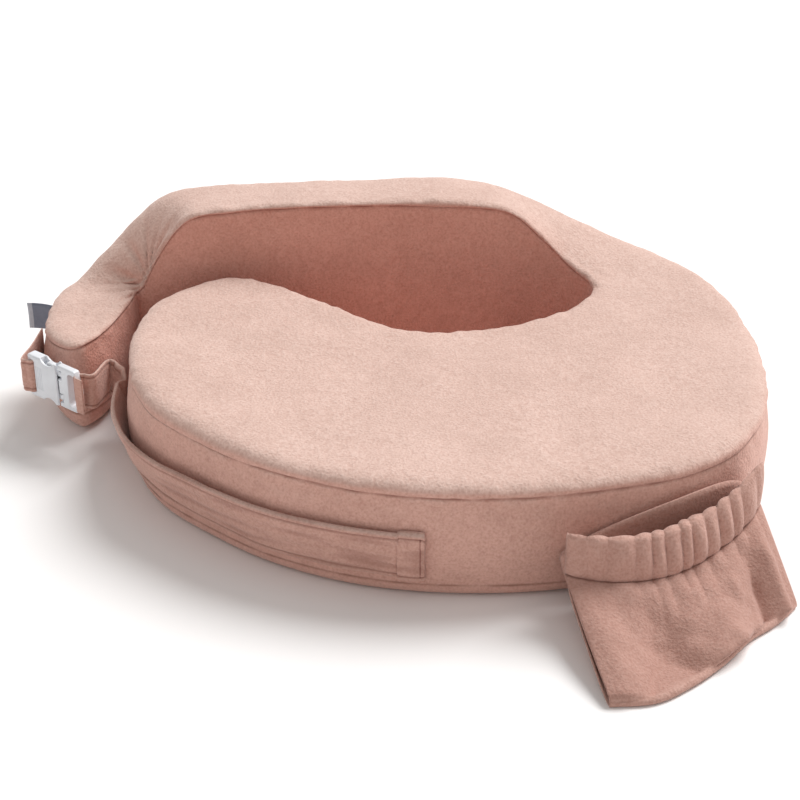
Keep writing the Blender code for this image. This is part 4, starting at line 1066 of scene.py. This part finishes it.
# %% socket
HALF = 20.0 * MM
THICK = 4.8 * MM
MOUTH = 4.0 * MM
socket = block("socket_body", (SOCKET_BACK, -THICK, -HALF), (MOUTH, THICK, HALF), 1.6 * MM)
carve(socket, block("hollow", (-16.0 * MM, -3.0 * MM, -0.05), (0.02, 3.0 * MM, 0.05), 0.6 * MM))
carve(socket, block("strap_slot", (SOCKET_BACK + 3.2 * MM, -0.02, -HALF + 4.5 * MM),
                    (SOCKET_BACK + 8.4 * MM, 0.02, HALF - 4.5 * MM), 1.2 * MM))
for side in (1, -1):            # scooped sides, where the fingers press the prongs
    deselect()
    bpy.ops.mesh.primitive_cylinder_add(vertices=48, radius=10.5 * MM, depth=0.04,
                                        rotation=(math.pi / 2, 0.0, 0.0),
                                        location=(-7.0 * MM, 0.0, side * (HALF + 6.2 * MM)))
    scoop = settle(bpy.context.object)
    scoop.name = "scoop"
    carve(socket, scoop)
for k in range(4):              # grip ribs across the face
    x = -22.0 * MM + k * 2.2 * MM
    for face_side in (1, -1):
        carve(socket, block("groove", (x, face_side * THICK - 0.35 * MM, -11 * MM),
                            (x + 0.9 * MM, face_side * THICK + 0.35 * MM, 11 * MM)))
finish_hard(socket, BUCKLE_WHITE)
socket.data.transform(INTO_PLACE)
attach(socket, "arm")
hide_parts("buckle_socket")
print("socket:", len(socket.data.polygons), "faces")

# %% plug
SHOULDER = MOUTH + 0.6 * MM
PLUG_HALF_THICK = 3.4 * MM
plug = block("plug_body", (SHOULDER, -PLUG_HALF_THICK, -HALF),
             (SHOULDER + 26 * MM, PLUG_HALF_THICK, HALF), 1.4 * MM)
take(plug)
bpy.ops.object.mode_set(mode="EDIT")
bpy.ops.mesh.select_all(action="SELECT")
bpy.ops.mesh.subdivide(number_cuts=1)
bpy.ops.object.mode_set(mode="OBJECT")
for v in plug.data.vertices:    # round the ring's far corners in the flat of the buckle
    far_x = v.co.x - (SHOULDER + 14 * MM)
    if far_x > 0:
        bow = math.sqrt(max(0.0, 1.0 - (v.co.z / (HALF * 1.02)) ** 2))
        v.co.x = SHOULDER + 14 * MM + far_x * (0.42 + 0.58 * bow)
bpy.data.objects["plug_body"].data.update()
ring_slot = block("ring_slot", (SHOULDER + 12.5 * MM, -0.02, -HALF + 4.4 * MM),
                  (SHOULDER + 22.4 * MM, 0.02, HALF - 4.4 * MM), 3.6 * MM, 4)
carve(plug, ring_slot)
for side in (1, -1):
    lo, hi = sorted((side * (HALF - 13.2 * MM), side * (HALF - 4.4 * MM)))
    carve(plug, block("prong_seat", (SHOULDER - 0.01, -0.02, lo), (SHOULDER + 5.2 * MM, 0.02, hi)))
carve(plug, block("tongue", (SHOULDER - 17.0 * MM, -1.5 * MM, -3.5 * MM),
                  (SHOULDER + 2.0 * MM, 1.5 * MM, 3.5 * MM),
                  0.6 * MM), "UNION")
finish_hard(plug, BUCKLE_WHITE)
plug.data.transform(INTO_PLACE)
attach(plug, "plug")
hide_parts("buckle_plug")
print("plug:", len(plug.data.polygons), "faces")

# %% prongs
PRONG_OUTLINE = [(0.0012, -0.0026), (0.0020, 0.0), (-0.0004, 0.0026), (-0.0065, 0.0026), (-0.0090, 0.0062),
                 (-0.0125, 0.0070), (-0.0165, 0.0062), (-0.0200, 0.0012),
                 (-0.0192, -0.0012), (-0.0125, -0.0006),
                 (-0.0060, -0.0024)]
PRONG_THICK = 2.1 * MM
for word, side, pivot in (("upper", 1, pivots[0]), ("lower", -1, pivots[1])):
    deselect()
    bpy.ops.mesh.primitive_circle_add(vertices=len(PRONG_OUTLINE), radius=5 * MM, fill_type="NGON")
    prong = bpy.context.object
    prong.name = "prong_%s_finger" % word
    for v, (x, z) in zip(prong.data.vertices, PRONG_OUTLINE):
        v.co = (x, -PRONG_THICK, side * z)
    bpy.ops.object.mode_set(mode="EDIT")
    bpy.ops.mesh.select_all(action="SELECT")
    bpy.ops.mesh.extrude_region_move(TRANSFORM_OT_translate={"value": (0.0, 2 * PRONG_THICK, 0.0)})
    bpy.ops.mesh.select_all(action="SELECT")
    bpy.ops.mesh.normals_make_consistent(inside=False)
    bpy.ops.object.mode_set(mode="OBJECT")
    finish_hard(prong, BUCKLE_WHITE, 0.7 * MM)
    prong.data.transform(Matrix.Translation(pivot) @ TURNED)
    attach(prong, "prong_" + word)
    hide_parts("buckle_prong_" + word)
print("prongs made")

# %% [markdown]
# ## The gathered pocket
# A bag of the same plush hangs on the front wall by its back edge and slumps on the floor. Its mouth
# is a casing with elastic in it, so the cloth stands up in short folds there, held by one stitch row
# below. The bag is one sheet: down the wall, out along the floor, and back up the front.

# %% pocket sheet
POCKET_RIB = 11.62
POCKET_WIDE = 163 * MM
POCKET_OUT = 130 * MM
REACH_SHARES = (0.977, 1.0, 0.923, 0.815, 0.70, 0.677, 0.654)      # share of that, left to right
REACHES = [Vector((v,) * 2) for v in REACH_SHARES]
MOUTH_END = 0.62                # height of the mouth at the side seams, as a share of its middle
POCKET_LIFT = 66 * MM
POCKET_NEAR = 12 * MM
SIDE_SEAM = 3.0 * MM
POCKET_FALL = Vector((0.13, -0.99))
HEM_UP = 34 * MM
HEM_TILT = math.radians(18)
COLUMNS = 150
GATHERS = 13.0
low_rib = walk(POCKET_RIB, -POCKET_WIDE / 2)
high_rib = walk(POCKET_RIB, POCKET_WIDE / 2)
BACK_SHAPE = [(0.02, 1.12, 0.0, -1), (0.02, 0.62, 0.2, -1), (0.03, 0.28, 0.4, -1), (0.12, 0.06, 0.6, -1),
              (0.50, 0.0, 0.8, -1), (0.96, 0.0, 1.0, -1)]
FRONT_SHAPE = [(0.99, 0.06, 1.0, 1), (0.85, 0.16, 0.80, 1), (0.66, 0.30, 0.58, 1), (0.47, 0.43, 0.36, 1),
               (0.32, 0.52, 0.12, 1)]
SHAPE = [Vector(row) for row in BACK_SHAPE + FRONT_SHAPE]
randomness = random.Random(12)
phases = [randomness.uniform(-0.5, 0.5) for _ in range(24)]


def pocket_place(share, row):
    """Point of the bag at this share of its width, for one row of the shape table."""
    here, out_ = wall_frame(low_rib + (high_rib - low_rib) * share)
    lean = (out_ * 0.1 + POCKET_FALL * 0.9).normalized()
    reach = POCKET_OUT * smooth_value(REACHES, (len(REACHES) - 1) * share)[0]
    openness = math.sin(math.pi * share) ** 0.5 if 0 < share < 1 else 0.0
    lift = POCKET_LIFT * (0.93 + 0.34 * share * share) * (MOUTH_END + (1.0 - MOUTH_END) * openness)
    shape_out, shape_lift, seam_share, side = row
    seam_out = SIDE_SEAM / 2 + (reach - SIDE_SEAM) * seam_share + side * SIDE_SEAM / 2
    seam_lift = lift * (1.0 - seam_share) + SIDE_SEAM * 0.5 * (1 + side)
    far = seam_out + (reach * shape_out - seam_out) * openness
    high = seam_lift + (lift * shape_lift - seam_lift) * openness
    near = min(far, POCKET_NEAR)
    xy = here + out_ * (BULGE + 1.6 * MM + near) + lean * (far - near)
    return Vector((xy.x, xy.y, 1.2 * MM + high))


def wave(share, count):
    """Rounded gathers of uneven width across the mouth, with narrow dark furrows between them."""
    place = share * count
    k = int(place)
    shift = phases[k % 24] * (1 - (place - k)) + phases[(k + 1) % 24] * (place - k)
    tall = 0.75 + 0.5 * abs(phases[(k + 7) % 24])
    return tall * (2.0 * abs(math.sin(math.pi * (place + 0.8 * shift))) ** 1.2 - 1.0)


SHAPE_ROWS = 64
HEM_ROWS = 18
LINING_ROWS = 8
grid = []
for c in range(COLUMNS + 1):
    share = c / COLUMNS
    column = []
    for r in range(SHAPE_ROWS + 1):
        row = smooth_value(SHAPE, (len(SHAPE) - 1) * r / SHAPE_ROWS)
        column.append(pocket_place(share, row))
    foot = column[-1]
    out_ = wall_frame(low_rib + (high_rib - low_rib) * share)[1]
    tilt = HEM_TILT * math.sin(math.pi * share) ** 0.5 if 0 < share < 1 else 0.0
    rise = Vector((-out_.x * math.sin(tilt), -out_.y * math.sin(tilt), math.cos(tilt)))
    thick_way = Vector((out_.x * math.cos(tilt), out_.y * math.cos(tilt), math.sin(tilt)))
    for r in range(1, HEM_ROWS + 1):
        swell = thick_way * 1.6 * MM * math.sin(math.pi * r / HEM_ROWS)
        column.append(foot + rise * HEM_UP * r / HEM_ROWS + swell)
    for r in range(1, LINING_ROWS + 1):
        column.append(foot + rise * (HEM_UP - (HEM_UP - 2 * MM) * r / LINING_ROWS) - thick_way * 2.6 * MM)
    grid.append(column)
grid = np.array([[tuple(p) for p in column] for column in grid])
down = np.gradient(grid, axis=1)
over = np.gradient(grid, axis=0)
facing = np.cross(over, down)
facing /= np.maximum(np.linalg.norm(facing, axis=2), 1e-9)[:, :, None]
ROWS_ALL = grid.shape[1]
lengths = np.concatenate([np.zeros((COLUMNS + 1, 1)),
                          np.cumsum(np.linalg.norm(np.diff(grid, axis=1), axis=2), axis=1)], axis=1)
hem_foot = lengths[:, SHAPE_ROWS][:, None]
below = hem_foot - lengths      # positive down the front panel, negative up the casing
shares = np.linspace(0.0, 1.0, COLUMNS + 1)
folds = np.array([wave(s, GATHERS) for s in shares])[:, None]
edge = np.sin(np.pi * np.clip(shares, 0.0, 1.0))[:, None] ** 0.6
casing = np.clip(-below / (5 * MM), 0.0, 1.0)
skirt = np.exp(-np.clip(below, 0.0, None) / (20 * MM))
front = (np.arange(ROWS_ALL) >= len(BACK_SHAPE) * SHAPE_ROWS / (len(SHAPE) - 1))[None, :]
lining = (np.arange(ROWS_ALL) > SHAPE_ROWS + HEM_ROWS)[None, :]
reach_up = 0.35 + 0.65 * np.sin(np.pi * np.clip(-below / HEM_UP, 0.0, 1.0))
crumple = ripple(grid.reshape(-1, 3) * np.array([1.0, 1.0, 0.6]), 16 * MM, 15).reshape(grid.shape[:2])
fold_depth = 2.5 * MM * casing * reach_up + 1.5 * MM * skirt * (1 - casing)
move = folds * fold_depth * edge + 2.2 * MM * crumple * edge
move = move + 0.9 * MM * edge * casing - 1.3 * MM * np.exp(-(below / (1.8 * MM)) ** 2)


def fold(centre, wide, deep, first, last):
    """One long soft fold down the bag's front."""
    fade = 0.3 * (last - first)
    run = np.clip((below - first) / fade, 0, 1) * np.clip((last - below) / fade, 0, 1)
    return deep * np.exp(-((shares[:, None] - centre) / wide) ** 2) * run


for centre, wide, deep, first, last in ((0.06, 0.07, 4.0, 2, 150), (0.28, 0.11, -14.0, 14, 150),
                                        (0.58, 0.11, 9.0, 30, 150), (0.80, 0.035, -7.0, 6, 120),
                                        (0.90, 0.035, 6.5, 4, 120), (0.68, 0.03, 2.5, 4, 60)):
    move = move + fold(centre, wide, deep * MM, first * MM, last * MM)
move = np.where(front, move, 0.0)
move = np.where(lining, move * 0.8, move)
flat_grid = (grid + facing * move[:, :, None]).reshape(-1, 3)
flat_grid[:, 2] = np.maximum(flat_grid[:, 2], 1.0 * MM)
faces = []
for c in range(COLUMNS):
    for r in range(ROWS_ALL - 1):
        a = c * ROWS_ALL + r
        faces.append((a, a + 1, a + ROWS_ALL + 1, a + ROWS_ALL))
pocket = new_piece("pocket_cloth", flat_grid, faces, PLUSH_POCKET_SHADED)
# painted shade: a dark line at the stitch row, and the front panel darker towards its bottom
stitch_row = np.exp(-(below / (0.8 * MM)) ** 2) * front
painted_front_shade = 0.27 * np.clip(below / (14 * MM), 0.0, 1.0) * front     # painted shade, darker down the front panel
mark(pocket, "seam", np.maximum(stitch_row * 0.8, painted_front_shade).ravel())
step = pocket.modifiers.new("cloth_thickness", "SOLIDIFY")
step.thickness = 1.5 * MM
step.offset = -1.0
apply_steps(pocket)
face_out(pocket)
# only a little painted top light on the pocket
mark_painted_top_light(pocket, 0.2)
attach(pocket, "base")
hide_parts("pocket_bag", "pocket_hem")

# %% elastic in the casing
elastic_points = []
for c in range(0, COLUMNS + 1, 2):
    a = grid[c, SHAPE_ROWS + 8]
    b = grid[c, SHAPE_ROWS + HEM_ROWS - 2]
    thick_way = facing[c, SHAPE_ROWS + 8]
    for q in (a, b):
        elastic_points.append(q - thick_way * 1.2 * MM)
faces = []
for c in range(COLUMNS // 2):
    faces.append((2 * c, 2 * c + 1, 2 * c + 3, 2 * c + 2))
elastic = new_piece("pocket_elastic_band", elastic_points, faces, KNIT_WHITE)
step = elastic.modifiers.new("band_thickness", "SOLIDIFY")
step.thickness = 0.9 * MM
apply_steps(elastic)
face_out(elastic)
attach(elastic, "base")
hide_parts("pocket_elastic")

# %% [markdown]
# ## Tag and care label
# A folded ribbon tag is caught in the arm's outer seam. Both it and the care label are left plain.

# %% side tag
tag_low, tag_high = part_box("side_tag")
TAG_UP = 25 * MM
tag_root = wall_hit(30.45, 0.066, arm_skin)[0]
tag_tip = Vector((tag_low.x + 0.6 * MM, (tag_low.y + tag_high.y) / 2,
                  (tag_low.z + tag_high.z) / 2 + 1 * MM))
tag_way = (tag_tip - tag_root).normalized()
tag_side = Vector((-tag_way.y, tag_way.x, 0.0)).normalized()
tag_reach = (tag_tip - tag_root).length
TAG_STEPS = 24
PALE_FROM = 20                  # the last steps show the folded edge's paler weave
points = []
for k in range(TAG_STEPS + 1):
    share = k / TAG_STEPS
    sag = 1.6 * MM * math.sin(math.pi * share) * (1.0 if tag_side.y > 0 else -1.0)
    thin = 0.55 * MM * (1.0 if k < TAG_STEPS else 0.5)
    mid = tag_root + tag_way * tag_reach * share + tag_side * sag
    for up in np.linspace(-0.5, 0.5, 7):
        curl = tag_side * 1.0 * MM * (2 * up) ** 2
        for side in (1, -1):
            points.append(mid + z_up * TAG_UP * up + curl + tag_side * thin * side)
faces = []
steps_of = []
for k in range(TAG_STEPS):
    for u in range(6):
        a = k * 14 + u * 2
        faces += [(a, a + 2, a + 16, a + 14), (a + 1, a + 15, a + 17, a + 3)]
        steps_of += [k, k]
    for u in (0, 6):
        a = k * 14 + u * 2
        faces.append((a, a + 14, a + 15, a + 1))
        steps_of.append(k)
for k in (0, TAG_STEPS):
    for u in range(6):
        a = k * 14 + u * 2
        faces.append((a, a + 1, a + 3, a + 2))
        steps_of.append(k)
tag = new_piece("side_tag_ribbon", points, faces, TAG_GREY)
tag.data.materials.append(TAG_PALE)
tag.data.polygons.foreach_set("material_index", [1 if k >= PALE_FROM else 0 for k in steps_of])
face_out(tag)
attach(tag, "arm")
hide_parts("side_tag")
print("tag reach", round(tag_reach, 3))

# %% care label
label_low, label_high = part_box("care_label")
points = []
for k in range(13):
    for u in range(9):
        x = label_low.x + (label_high.x - label_low.x) * k / 12
        z = label_low.z + (label_high.z - label_low.z) * u / 8
        curl = 1.6 * MM * max(0.0, 0.5 - u / 8) ** 1.5 + 0.3 * MM * math.sin(k * 0.9)
        points.append((x, label_low.y + 0.35 * MM + curl, z))
faces = [(k * 9 + u, k * 9 + u + 1, k * 9 + u + 10, k * 9 + u + 9) for k in range(12) for u in range(8)]
label = new_piece("care_label_cloth", points, faces, LABEL_WHITE)
step = label.modifiers.new("label_thickness", "SOLIDIFY")
step.thickness = 0.3 * MM
apply_steps(label)
face_out(label)
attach(label, "base")
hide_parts("care_label")
label_stitch = []
for k in range(25):
    label_stitch.append((label_low.x + 1.5 * MM + (label_high.x - label_low.x - 3 * MM) * k / 24,
                         label_low.y + 0.75 * MM + 0.3 * MM * math.sin(k * 0.45), label_high.z - 2.2 * MM))
label_thread = thread_line("care_label_stitches", label_stitch, 0.22 * MM, THREAD_LIGHT)
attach(label_thread, "base")
print("care label made")

# %% [markdown]
# ## The zip
# The frame's own tapes, teeth, stops, slider and pull have the right shape, so they stay and only
# take a finish. A row of stitches holds each tape to the cover.

# %% zip finishes
for node, finish in (("zip_tape_upper", ZIP_TAPE), ("zip_tape_lower", ZIP_TAPE), ("zip_teeth", ZIP_ROSE),
                     ("zip_stop_start", ZIP_ROSE), ("zip_stop_end", ZIP_ROSE), ("zip_slider", ZIP_ROSE),
                     ("zip_pull", ZIP_ROSE)):
    obj = frame["nodes"][node]
    obj.data.materials.clear()
    obj.data.materials.append(finish)
for node, at_top in (("zip_tape_upper", True), ("zip_tape_lower", False)):
    low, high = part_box(node)
    z = high.z - 2.2 * MM if at_top else low.z + 2.2 * MM
    run = [(low.x + 2 * MM + (high.x - low.x - 4 * MM) * k / 60, high.y + 0.15 * MM, z) for k in range(61)]
    stitches = thread_line(node + "_stitches", run, 0.28 * MM, THREAD)
    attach(stitches, "base")
print("zip dressed")
